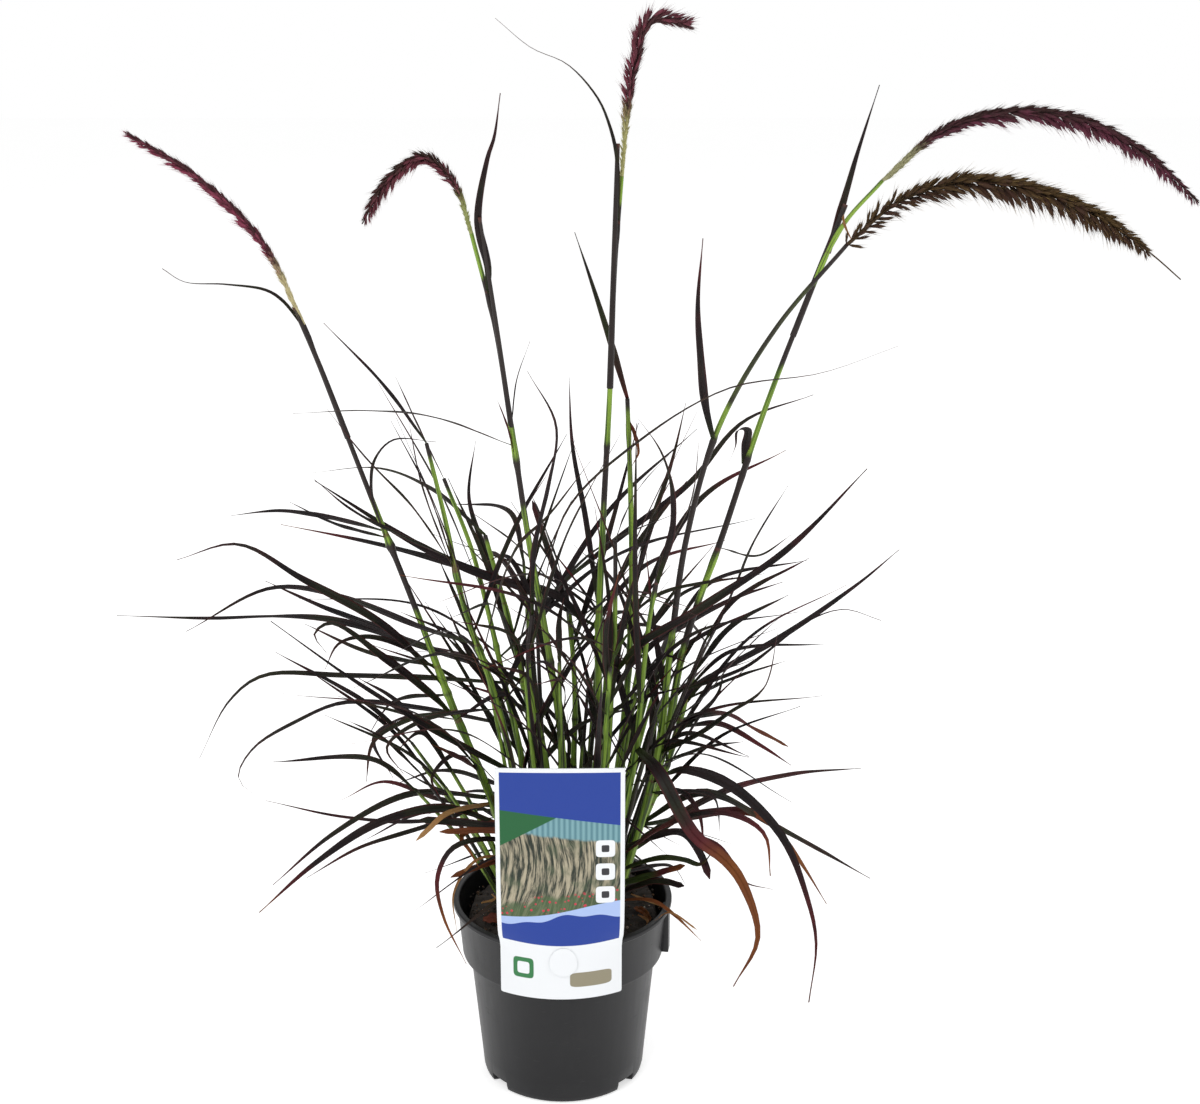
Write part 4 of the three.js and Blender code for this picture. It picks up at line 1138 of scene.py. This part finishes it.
def applyModifier(thing, kind, **settings):
    selectNothing()
    thing.select_set(True)
    bpy.context.view_layer.objects.active = thing
    bpy.ops.object.modifier_add(type=kind)
    modifier = thing.modifiers[-1]
    for key, value in settings.items():
        setattr(modifier, key, value)
    bpy.ops.object.modifier_apply(modifier=modifier.name)


def block(size, place, azimuth):
    selectNothing()
    bpy.ops.mesh.primitive_cube_add(size=1, location=place, rotation=(0, 0, azimuth))
    cube = bpy.context.object
    cube.scale = size
    applyPlace()
    return cube


def onCircle(radius, degrees, height):
    turn = math.radians(degrees)
    return Vector((radius * math.cos(turn), radius * math.sin(turn), height)) * mm


def makePot(shape):
    profile = [(radius * mm, height * mm) for radius, height in shape["profile"]]
    selectNothing()
    bpy.ops.mesh.primitive_circle_add(vertices=shape["steps"], radius=profile[0][0], fill_type="NGON")
    pot = bpy.context.object
    startEditing("FACE")
    bpy.ops.mesh.select_all(action="SELECT")
    for (lastRadius, lastHeight), (radius, height) in zip(profile, profile[1:]):
        step = (0, 0, height - lastHeight)
        bpy.ops.mesh.extrude_region_move(TRANSFORM_OT_translate={"value": step})
        bpy.ops.transform.resize(value=(radius / lastRadius, radius / lastRadius, 1))
    bpy.ops.mesh.select_all(action="SELECT")
    bpy.ops.mesh.normals_make_consistent(inside=False)
    selectNothing()
    for degrees in shape["notches"]:
        size = [side * mm for side in shape["notchSize"]]
        cutter = block(size, onCircle(52, degrees, shape["notchSize"][2] / 2 - 0.5), math.radians(degrees))
        applyModifier(pot, "BOOLEAN", operation="DIFFERENCE", object=cutter)
        bpy.data.objects.remove(cutter)
    reach, middle = shape["lugPlace"]
    lugSize = [side * mm for side in shape["lugSize"]]
    lug = block(lugSize, onCircle(reach, shape["lugAzimuth"], middle), math.radians(shape["lugAzimuth"]))
    applyModifier(pot, "BOOLEAN", operation="UNION", object=lug)
    bpy.data.objects.remove(lug)
    applyModifier(pot, "BEVEL", width=shape["softEdge"] * mm, segments=2, limit_method="ANGLE")
    selectNothing()
    pot.select_set(True)
    bpy.context.view_layer.objects.active = pot
    bpy.ops.object.shade_smooth_by_angle(angle=math.radians(35))
    settle(pot, "potShell", potPlasticFinish(), "pot", slot="pot_plastic")


makePot(potShape)
print("pot made")


# Potting mix: a lumpy bed with crumbs, bark and grit, banked against the rim at the back right
soilShape = {"radius": 63.6, "top": 112.0, "depth": 14, "lump": 2.2, "bank": 6.0, "bankAzimuth": 35}
crumbShape = {"count": 900, "smallest": 0.5, "largest": 2.3, "onRim": 26, "rimHeight": 122}


def soilHeight(x, y):
    lump = noise.fractal(Vector((x * 0.09, y * 0.09, 0.5)), 0.9, 2.2, 4) * soilShape["lump"]
    reach = math.hypot(x, y) / soilShape["radius"]
    facing = math.cos(math.atan2(y, x) - math.radians(soilShape["bankAzimuth"]))
    bank = soilShape["bank"] * max(0, facing) ** 2 * max(0, reach - 0.45) / 0.55
    return soilShape["top"] + 0.6 + lump + bank


def makeSoil(shape):
    selectNothing()
    bpy.ops.mesh.primitive_circle_add(vertices=48, radius=shape["radius"], fill_type="TRIFAN")
    soil = bpy.context.object
    startEditing()
    bpy.ops.mesh.select_all(action="SELECT")
    bpy.ops.mesh.subdivide(number_cuts=11)
    bpy.ops.object.mode_set(mode="OBJECT")
    for vertex in soil.data.vertices:
        x, y, z = vertex.co
        vertex.co = (x, y, soilHeight(x, y))
    startEditing("FACE")
    bpy.ops.mesh.select_all(action="SELECT")
    bpy.ops.mesh.extrude_region_move(TRANSFORM_OT_translate={"value": (0, 0, 1)})
    bpy.ops.transform.translate(value=(0, 0, -1))
    bpy.ops.mesh.select_all(action="INVERT")
    bpy.ops.transform.resize(value=(0.97, 0.97, 0.1))
    bpy.ops.transform.translate(value=(0, 0, -shape["depth"]))
    bpy.ops.mesh.select_all(action="SELECT")
    bpy.ops.mesh.normals_make_consistent(inside=False)
    bpy.ops.transform.resize(value=(mm, mm, mm), center_override=(0, 0, 0))
    selectNothing()
    smoothFaces(soil.data)
    settle(soil, "pottingMix", soilFinish(), "soil", slot="soil")


def makeCrumbs(shape):
    selectNothing()
    bpy.ops.mesh.primitive_ico_sphere_add(subdivisions=1, radius=0.5)
    crumb = bpy.context.object
    bpy.ops.transform.resize(value=(1.2, 0.9, 0.7))
    master = crumb.data
    bpy.data.objects.remove(crumb)
    matrices = []
    tones = []
    for k in range(shape["count"] + shape["onRim"]):
        size = shape["smallest"] + (shape["largest"] - shape["smallest"]) * dice.random() ** 2.5
        if k < shape["count"]:
            reach = (soilShape["radius"] - 1) * dice.random() ** 0.5
            turn = dice.uniform(0, 2 * math.pi)
            x, y = reach * math.cos(turn), reach * math.sin(turn)
            place = Vector((x, y, soilHeight(x, y) + size * 0.2)) * mm
        else:
            size *= 0.8
            place = onCircle(dice.uniform(66.5, 69.6), dice.uniform(12, 62), shape["rimHeight"] + size * 0.25)
        turn = Euler([dice.uniform(0, 6.28) for axis in range(3)]).to_matrix().to_4x4()
        matrices.append(Matrix.Translation(place) @ turn @ Matrix.Scale(size * mm, 4))
        tones.append(dice.random())
    crumbs = newObject("soilCrumbs", scatter("soilCrumbs", master, matrices, tones))
    settle(crumbs, "soilCrumbs", crumbFinish(), slot="soil")


makeSoil(soilShape)
makeCrumbs(crumbShape)
print("soil made")


# Root crown: a low mound bristling with the hollow stubs of old sheaths
crownShape = {"radius": 39.5, "foot": 111.0, "rise": 6.0, "stubs": 95, "shortest": 5, "longest": 17,
              "sunk": 1.5}


def modelStub():
    selectNothing()
    bpy.ops.mesh.primitive_cylinder_add(vertices=8, radius=1, depth=1, location=(0, 0, 0.5))
    stub = bpy.context.object
    startEditing("FACE")
    pick(stub, "polygons", lambda f: f.normal.z > 0.9)
    bpy.ops.mesh.inset(thickness=0.3)
    bpy.ops.transform.translate(value=(0.1, 0, -0.3))
    selectNothing()
    applyPlace()
    mesh = stub.data
    bpy.data.objects.remove(stub)
    return mesh


def makeCrown(shape):
    selectNothing()
    bpy.ops.mesh.primitive_uv_sphere_add(segments=40, ring_count=16, radius=shape["radius"] * mm)
    mound = bpy.context.object
    startEditing()
    pick(mound, "vertices", lambda v: v.co.z < -0.0001)
    bpy.ops.transform.resize(value=(1, 1, 0.05), center_override=(0, 0, 0))
    bpy.ops.mesh.select_all(action="SELECT")
    bpy.ops.transform.resize(value=(1, 1, shape["rise"] / shape["radius"]), center_override=(0, 0, 0))
    bpy.ops.transform.translate(value=(0, 0, shape["foot"] * mm))
    bpy.ops.transform.vertex_random(offset=0.8 * mm, seed=4)
    selectNothing()
    stub = modelStub()
    matrices = []
    for k in range(shape["stubs"]):
        reach = (shape["radius"] - 3) * dice.random() ** 0.6
        turn = dice.uniform(0, 360)
        dome = shape["rise"] * (1 - (reach / shape["radius"]) ** 2) ** 0.5
        foot = onCircle(reach, turn, shape["foot"] + dome - shape["sunk"])
        outwardLean = math.radians(reach * 0.9 + dice.uniform(-12, 18))
        lean = Euler((0, outwardLean, math.radians(turn))).to_matrix().to_4x4()
        radius = dice.uniform(1.2, 2.6) * mm
        height = dice.uniform(shape["shortest"], shape["longest"]) * mm
        size = Matrix.Diagonal((radius, radius * 0.75, height, 1))
        matrices.append(Matrix.Translation(foot) @ lean @ size)
    stubs = newObject("stubs", scatter("stubs", stub, matrices))
    selectNothing()
    stubs.select_set(True)
    mound.select_set(True)
    bpy.context.view_layer.objects.active = mound
    bpy.ops.object.join()
    bpy.ops.object.shade_smooth_by_angle(angle=softAngle)
    settle(mound, "rootCrown", crownFinish(), "root_crown", slot="crown")


makeCrown(crownShape)
print("root crown made")


# Thin tillers between and beside the main stems. Azimuths are in degrees and reach is from the middle.
tillerGroups = {
    "inner": {"count": 24, "azimuths": (0, 360), "reach": (0, 32), "heights": (80, 215),
        "lean": (0.25, 0.6), "greens": (0.25, 0.5, 0.8)},
    "right": {"count": 10, "azimuths": (-38, 45), "reach": (24, 36), "heights": (70, 190),
        "lean": (0.4, 0.85), "greens": (0.25, 0.5, 0.8)},
    "left": {"count": 7, "azimuths": (150, 215), "reach": (24, 36), "heights": (60, 150),
        "lean": (0.5, 0.9), "greens": (0.25, 0.5, 0.7)},
}
tillerRadii = (1.5, 2.3)


def makeTiller(name, group):
    near, far = group["reach"]
    out = near + (far - near) * dice.random() ** 0.5
    foot = onCircle(out, dice.uniform(*group["azimuths"]), crownTop - 3) / mm
    height = dice.uniform(*group["heights"])
    lean = dice.uniform(*group["lean"])
    middle = foot + Vector((foot.x * lean, foot.y * lean, height * 0.55))
    top = foot + Vector((foot.x * lean * 2.1, foot.y * lean * 2.1, height))
    stems[name] = {"radius": (dice.uniform(*tillerRadii), 1.0), "nodes": [],
                   "greens": [(110, top.z, dice.choice(group["greens"]))],
                   "through": [tuple(foot), tuple(middle), tuple(top)]}
    stemPaths[name] = stemPath(name)
    makeStem(name, stems[name], culmMaterial)
    outward = Vector((foot.x, foot.y, 0)).normalized()
    reach = dice.uniform(50, 100)
    tip = top + outward * reach * 0.8 + Vector((dice.uniform(-25, 25), 0, dice.uniform(10, 60)))
    bend = top + outward * reach * 0.3 + Vector((0, 0, 26))
    tip.y = max(tip.y, fillRoom["behindLabel"])
    bend.y = max(bend.y, fillRoom["behindLabel"])
    spec = {"stem": name, "width": dice.uniform(3.2, 5), "through": [tuple(bend), tuple(tip)]}
    makeBlade(name + "_blade", spec)


tillerCount = 0
for group in tillerGroups.values():
    for k in range(group["count"]):
        tillerCount += 1
        makeTiller(f"tiller_{tillerCount}", group)
print("tillers made:", tillerCount)


# Plant label: a thin printed sheet with rounded corners, bent round the rim and flatter above it
labelShape = {
    "width": 78,
    "height": 156,
    "foot": 87,
    "thickness": 0.7,
    "corner": 1.2,
    "innerRadius": 70.5,
    "rimTop": 122,
    "opening": 6,
    "columns": 26,
    "rows": 30,
    "tongue": (1.5, 112, 8.5),
}


def bendLabel(thing, shape, standOff):
    for vertex in thing.data.vertices:
        across, height = vertex.co.x, vertex.co.z
        bend = shape["innerRadius"] + max(0, height - shape["rimTop"]) * shape["opening"]
        angle = across / bend
        radius = bend + standOff(across, height)
        depth = bend - shape["innerRadius"] - radius * math.cos(angle)
        vertex.co = Vector((radius * math.sin(angle), depth, height)) * mm


def flatLabelMap(thing, shape):
    mesh = thing.data
    layer = mesh.uv_layers[0] if mesh.uv_layers else mesh.uv_layers.new(name="UVMap")
    for loop in mesh.loops:
        x, y, z = mesh.vertices[loop.vertex_index].co
        layer.data[loop.index].uv = (x / shape["width"] + 0.5, (z - shape["foot"]) / shape["height"])


def cutAcross(normal, first, last, count):
    for k in range(1, count):
        place = [axis * (first + (last - first) * k / count) for axis in normal]
        bpy.ops.mesh.select_all(action="SELECT")
        bpy.ops.mesh.bisect(plane_co=place, plane_no=normal)


def makeLabel(shape):
    half = shape["width"] / 2
    selectNothing()
    bpy.ops.mesh.primitive_plane_add(size=1, location=(0, 0, shape["foot"] + shape["height"] / 2),
                                     rotation=(math.radians(90), 0, 0))
    sheet = bpy.context.object
    sheet.scale = (shape["width"], shape["height"], 1)
    applyPlace()
    startEditing()
    bpy.ops.mesh.select_all(action="SELECT")
    bpy.ops.mesh.bevel(offset=shape["corner"], segments=5, affect="VERTICES")
    cutAcross((1, 0, 0), -half, half, shape["columns"])
    cutAcross((0, 0, 1), shape["foot"], shape["foot"] + shape["height"], shape["rows"])
    selectNothing()
    flatLabelMap(sheet, shape)
    bendLabel(sheet, shape, lambda across, height: 0)
    applyModifier(sheet, "SOLIDIFY", thickness=shape["thickness"] * mm, offset=1)
    sheet.select_set(True)
    bpy.ops.object.shade_smooth_by_angle(angle=softAngle)
    settle(sheet, "printedLabel", labelFinish(), "plant_label", slot="label")


# The die-cut tongue that locks the label, standing a little proud of it
def makeTongue(shape):
    across, height, radius = shape["tongue"]
    selectNothing()
    bpy.ops.mesh.primitive_circle_add(vertices=32, radius=radius, fill_type="TRIFAN",
                                      location=(across, 0, height), rotation=(math.radians(90), 0, 0))
    tongue = bpy.context.object
    applyPlace()
    startEditing()
    pick(tongue, "vertices", lambda v: v.co.z > height + 1)
    bpy.ops.transform.resize(value=(1, 1, 1.25), center_override=(across, 0, height))
    cutAcross((1, 0, 0), across - radius, across + radius, 8)
    selectNothing()
    flatLabelMap(tongue, shape)
    bendLabel(tongue, shape, lambda x, z: shape["thickness"] + 0.15 + max(0, height + 6 - z) * 0.05)
    applyModifier(tongue, "SOLIDIFY", thickness=0.4 * mm, offset=1)
    tongue.select_set(True)
    bpy.ops.object.shade_smooth_by_angle(angle=softAngle)
    settle(tongue, "labelTongue", labelFinish(), slot="label")


# Generic print: white border, blue bands, a loose grass picture with red dots, white foot
def labelFinish():
    finish = Finish("printedSheet", 0.32, Specular_IOR_Level=0.35)
    flat = finish.flat()
    u, v, level = finish.split(flat)
    wave = finish.noise(finish.stretched(flat, (2.2, 1.0, 1.0)), 2.0, 2.0)
    lean = u * 1.15 - v * 1.3 + (v - 0.3) * (v - 0.3) * 2.2 + wave * 0.16
    blades = finish.node("CombineXYZ", inputs={0: lean * 34.0, 1: v * 7.0 + u * 3.0, 2: 0.0})
    streak = finish.noise(blades, 1.0, 4.0, 0.65)
    clump = finish.noise(finish.stretched(flat, (6.0, 11.0, 1.0)), 1.0, 4.0)
    specks = finish.stretched(flat, (26.0, 52.0, 1.0))
    dot = finish.node("TexVoronoi", inputs={"Vector": specks, "Scale": 1.0})
    white = (0.83, 0.85, 0.87)
    blue = (0.008, 0.042, 0.3)
    grass = finish.mix(finish.smooth(streak, 0.4, 0.62), (0.012, 0.02, 0.012), (0.42, 0.37, 0.26))
    grass = finish.mix(finish.smooth(clump, 0.48, 0.7) * 0.65, grass, (0.06, 0.09, 0.045))
    ground = 1 - finish.smooth(v + wave * 0.14 - u * 0.08, 0.47, 0.5)
    picture = finish.mix(ground * 0.8, grass, finish.mix(clump, (0.015, 0.035, 0.012), (0.1, 0.17, 0.06)))
    blooms = (1 - finish.smooth(dot, 0.22, 0.32)) * finish.smooth(clump, 0.36, 0.44) * ground
    picture = finish.mix(blooms, picture, (0.55, 0.03, 0.06))
    slat = finish.math("SINE", u * 150.0) * 0.5 + 0.5
    fence = finish.mix(slat, (0.09, 0.22, 0.26), (0.2, 0.38, 0.42))
    picture = finish.mix(finish.smooth(v + (u - 0.5) * 0.05 + clump * 0.03, 0.715, 0.73), picture, fence)
    header = finish.smooth(v + u * 0.07, 0.825, 0.828)
    corner = finish.smooth(v - u * 0.28, 0.66, 0.663)
    base = finish.mix(header, finish.mix(corner, picture, (0.008, 0.11, 0.03)), blue)
    band = 1 - finish.smooth(v - u * 0.06 + finish.math("SINE", u * 5.0) * 0.012, 0.36, 0.363)
    skyline = finish.math("SINE", u * 21.0) * 0.006 + finish.math("SINE", u * 8.0) * 0.012
    pale = 1 - finish.smooth(v - u * 0.04 + skyline, 0.335, 0.338)
    base = finish.mix(band, base, (0.4, 0.52, 0.82))
    base = finish.mix(pale, base, blue)
    foot = 1 - finish.smooth(v + finish.math("SINE", u * 3.1) * 0.016, 0.252, 0.254)
    base = finish.mix(foot, base, white)
    base = finish.mix(roundPatch(finish, u, v, 0.74, 0.085, 0.17, 0.032), base, (0.28, 0.25, 0.17))
    base = finish.mix(roundPatch(finish, u, v, 0.2, 0.13, 0.085, 0.045), base, (0.03, 0.19, 0.06))
    base = finish.mix(roundPatch(finish, u, v, 0.2, 0.13, 0.05, 0.026), base, white)
    for k in range(3):
        level = 0.66 - k * 0.1
        base = finish.mix(roundPatch(finish, u, v, 0.85, level, 0.075, 0.036), base, white)
        base = finish.mix(roundPatch(finish, u, v, 0.85, level, 0.03, 0.015), base, (0.03, 0.03, 0.035))
    base = finish.mix(edgeMask(finish, u, v), base, white)
    return finish.paint(base, 0.26 + wave * 0.1, wave, 0.0001, 0.2)


def roundPatch(finish, u, v, centreU, centreV, halfU, halfV):
    sideU = finish.math("ABSOLUTE", u - centreU) / halfU
    sideV = finish.math("ABSOLUTE", v - centreV) / halfV
    return 1 - finish.smooth(sideU ** 6.0 + sideV ** 6.0, 0.85, 1.15)


def edgeMask(finish, u, v):
    fromSide = 0.5 - finish.math("ABSOLUTE", u - 0.5)
    fromEnd = (0.5 - finish.math("ABSOLUTE", v - 0.5)) * 2.0
    nearest = finish.math("MINIMUM", fromSide, fromEnd)
    return 1 - finish.smooth(nearest, 0.032, 0.036)


makeLabel(labelShape)
makeTongue(labelShape)
print("label made")


# Dry scraps and straws lying on the mix and across the rim
scraps = {
    "scrap_1": {"width": 8, "tone": (0.45, 0.55, 0.6),
        "through": [(-50, -22, 116), (-40, -24, 118), (-28, -26, 117)]},
    "scrap_2": {"width": 2.4, "tone": (0.9, 0.95, 1.0),
        "through": [(-52, -4, 118), (-36, 0, 120), (-24, 8, 119)]},
    "scrap_3": {"width": 1.8, "tone": (0.9, 0.9, 0.95),
        "through": [(-46, 10, 117), (-38, -10, 119), (-34, -34, 116)]},
    "scrap_4": {"width": 2.4, "tone": (0.85, 0.9, 1.0),
        "through": [(44, 8, 118), (56, -6, 120), (66, -22, 124), (78, -38, 120)]},
    "scrap_5": {"width": 5, "tone": (0.6, 0.7, 0.75),
        "through": [(46, -6, 116), (52, -14, 117), (56, -24, 116)]},
    "scrap_6": {"width": 2.0, "tone": (0.8, 0.85, 0.9),
        "through": [(48, -16, 116), (54, -26, 117), (50, -40, 115)]},
    "scrap_7": {"width": 6, "tone": (0.5, 0.55, 0.6),
        "through": [(20, 44, 117), (34, 46, 119), (46, 40, 118)]},
    "scrap_9": {"width": 1.6, "tone": (0.75, 0.8, 0.9),
        "through": [(58, -44, 127), (68, -62, 142), (83, -74, 137)]},
    "scrap_8": {"width": 5, "tone": (0.6, 0.65, 0.8),
        "through": [(-20, 46, 116), (-34, 40, 118), (-44, 30, 116)]},
}


def makeScrap(name, spec):
    path = Path(asVectors(spec["through"]))
    mesh, along = layBlade(bladeMaster, path, spec["width"], (20, 60), bluntTip=True, wave=0.2,
                           phase=dice.random() * 6)
    addAttribute(mesh, "tone", spreadTone(spec["tone"], along))
    addAttribute(mesh, "green", along * 0)
    settle(newObject(name, mesh), name, bladeMaterial, slot="dry_blade")


for name, spec in scraps.items():
    makeScrap(name, spec)
print("scraps made:", len(scraps))


# Pale floor, white surroundings and soft studio light
stageSettings = {
    "floorSize": 8.0,
    "roomLight": 0.5,
    "backdrop": 1.0,
    "floorGlow": 0.55,
    "lights": {
        "keyLight": {"place": (-0.9, -1.6, 1.9), "size": 1.1, "power": 20},
        "fillLight": {"place": (1.3, -1.1, 1.5), "size": 1.4, "power": 8},
        "backLight": {"place": (0.2, 1.4, 1.6), "size": 1.2, "power": 8},
    },
}


def floorFinish(glow):
    finish = Finish("paleFloor", 0.9, Specular_IOR_Level=0.1, Emission_Color=(1, 1, 1, 1),
                    Emission_Strength=glow)
    cloud = finish.noise(finish.place(), 3.0, 2.0)
    return finish.paint(finish.mix(cloud, (0.84, 0.84, 0.84), (0.86, 0.86, 0.86)), 0.85 + cloud * 0.1)


# The room lights the plant softly, and the backdrop behind it is seen as plain white
def makeWorld(settings):
    world = bpy.data.worlds.new("studio")
    world.use_nodes = True
    tree = world.node_tree
    room = tree.nodes["Background"]
    room.inputs["Color"].default_value = (1, 1, 1, 1)
    room.inputs["Strength"].default_value = settings["roomLight"]
    backdrop = tree.nodes.new("ShaderNodeBackground")
    backdrop.inputs["Color"].default_value = (1, 1, 1, 1)
    backdrop.inputs["Strength"].default_value = settings["backdrop"]
    choice = tree.nodes.new("ShaderNodeMixShader")
    rays = tree.nodes.new("ShaderNodeLightPath")
    tree.links.new(rays.outputs["Is Camera Ray"], choice.inputs[0])
    tree.links.new(room.outputs[0], choice.inputs[1])
    tree.links.new(backdrop.outputs[0], choice.inputs[2])
    tree.links.new(choice.outputs[0], tree.nodes["World Output"].inputs[0])
    bpy.context.scene.world = world


def makeStage(settings):
    selectNothing()
    bpy.ops.mesh.primitive_plane_add(size=settings["floorSize"])
    floor = bpy.context.object
    floor.name = "paleFloor"
    floor.data.materials.append(floorFinish(settings["floorGlow"]))
    makeWorld(settings)
    bpy.context.scene.view_settings.view_transform = "Standard"
    for name, spec in settings["lights"].items():
        data = bpy.data.lights.new(name, "AREA")
        data.size = spec["size"]
        data.energy = spec["power"]
        light = bpy.data.objects.new(name, data)
        light.location = spec["place"]
        light.rotation_euler = (Vector((0, 0, 0.3)) - light.location).to_track_quat("-Z", "Y").to_euler()
        bpy.context.scene.collection.objects.link(light)


makeStage(stageSettings)
print("stage made")
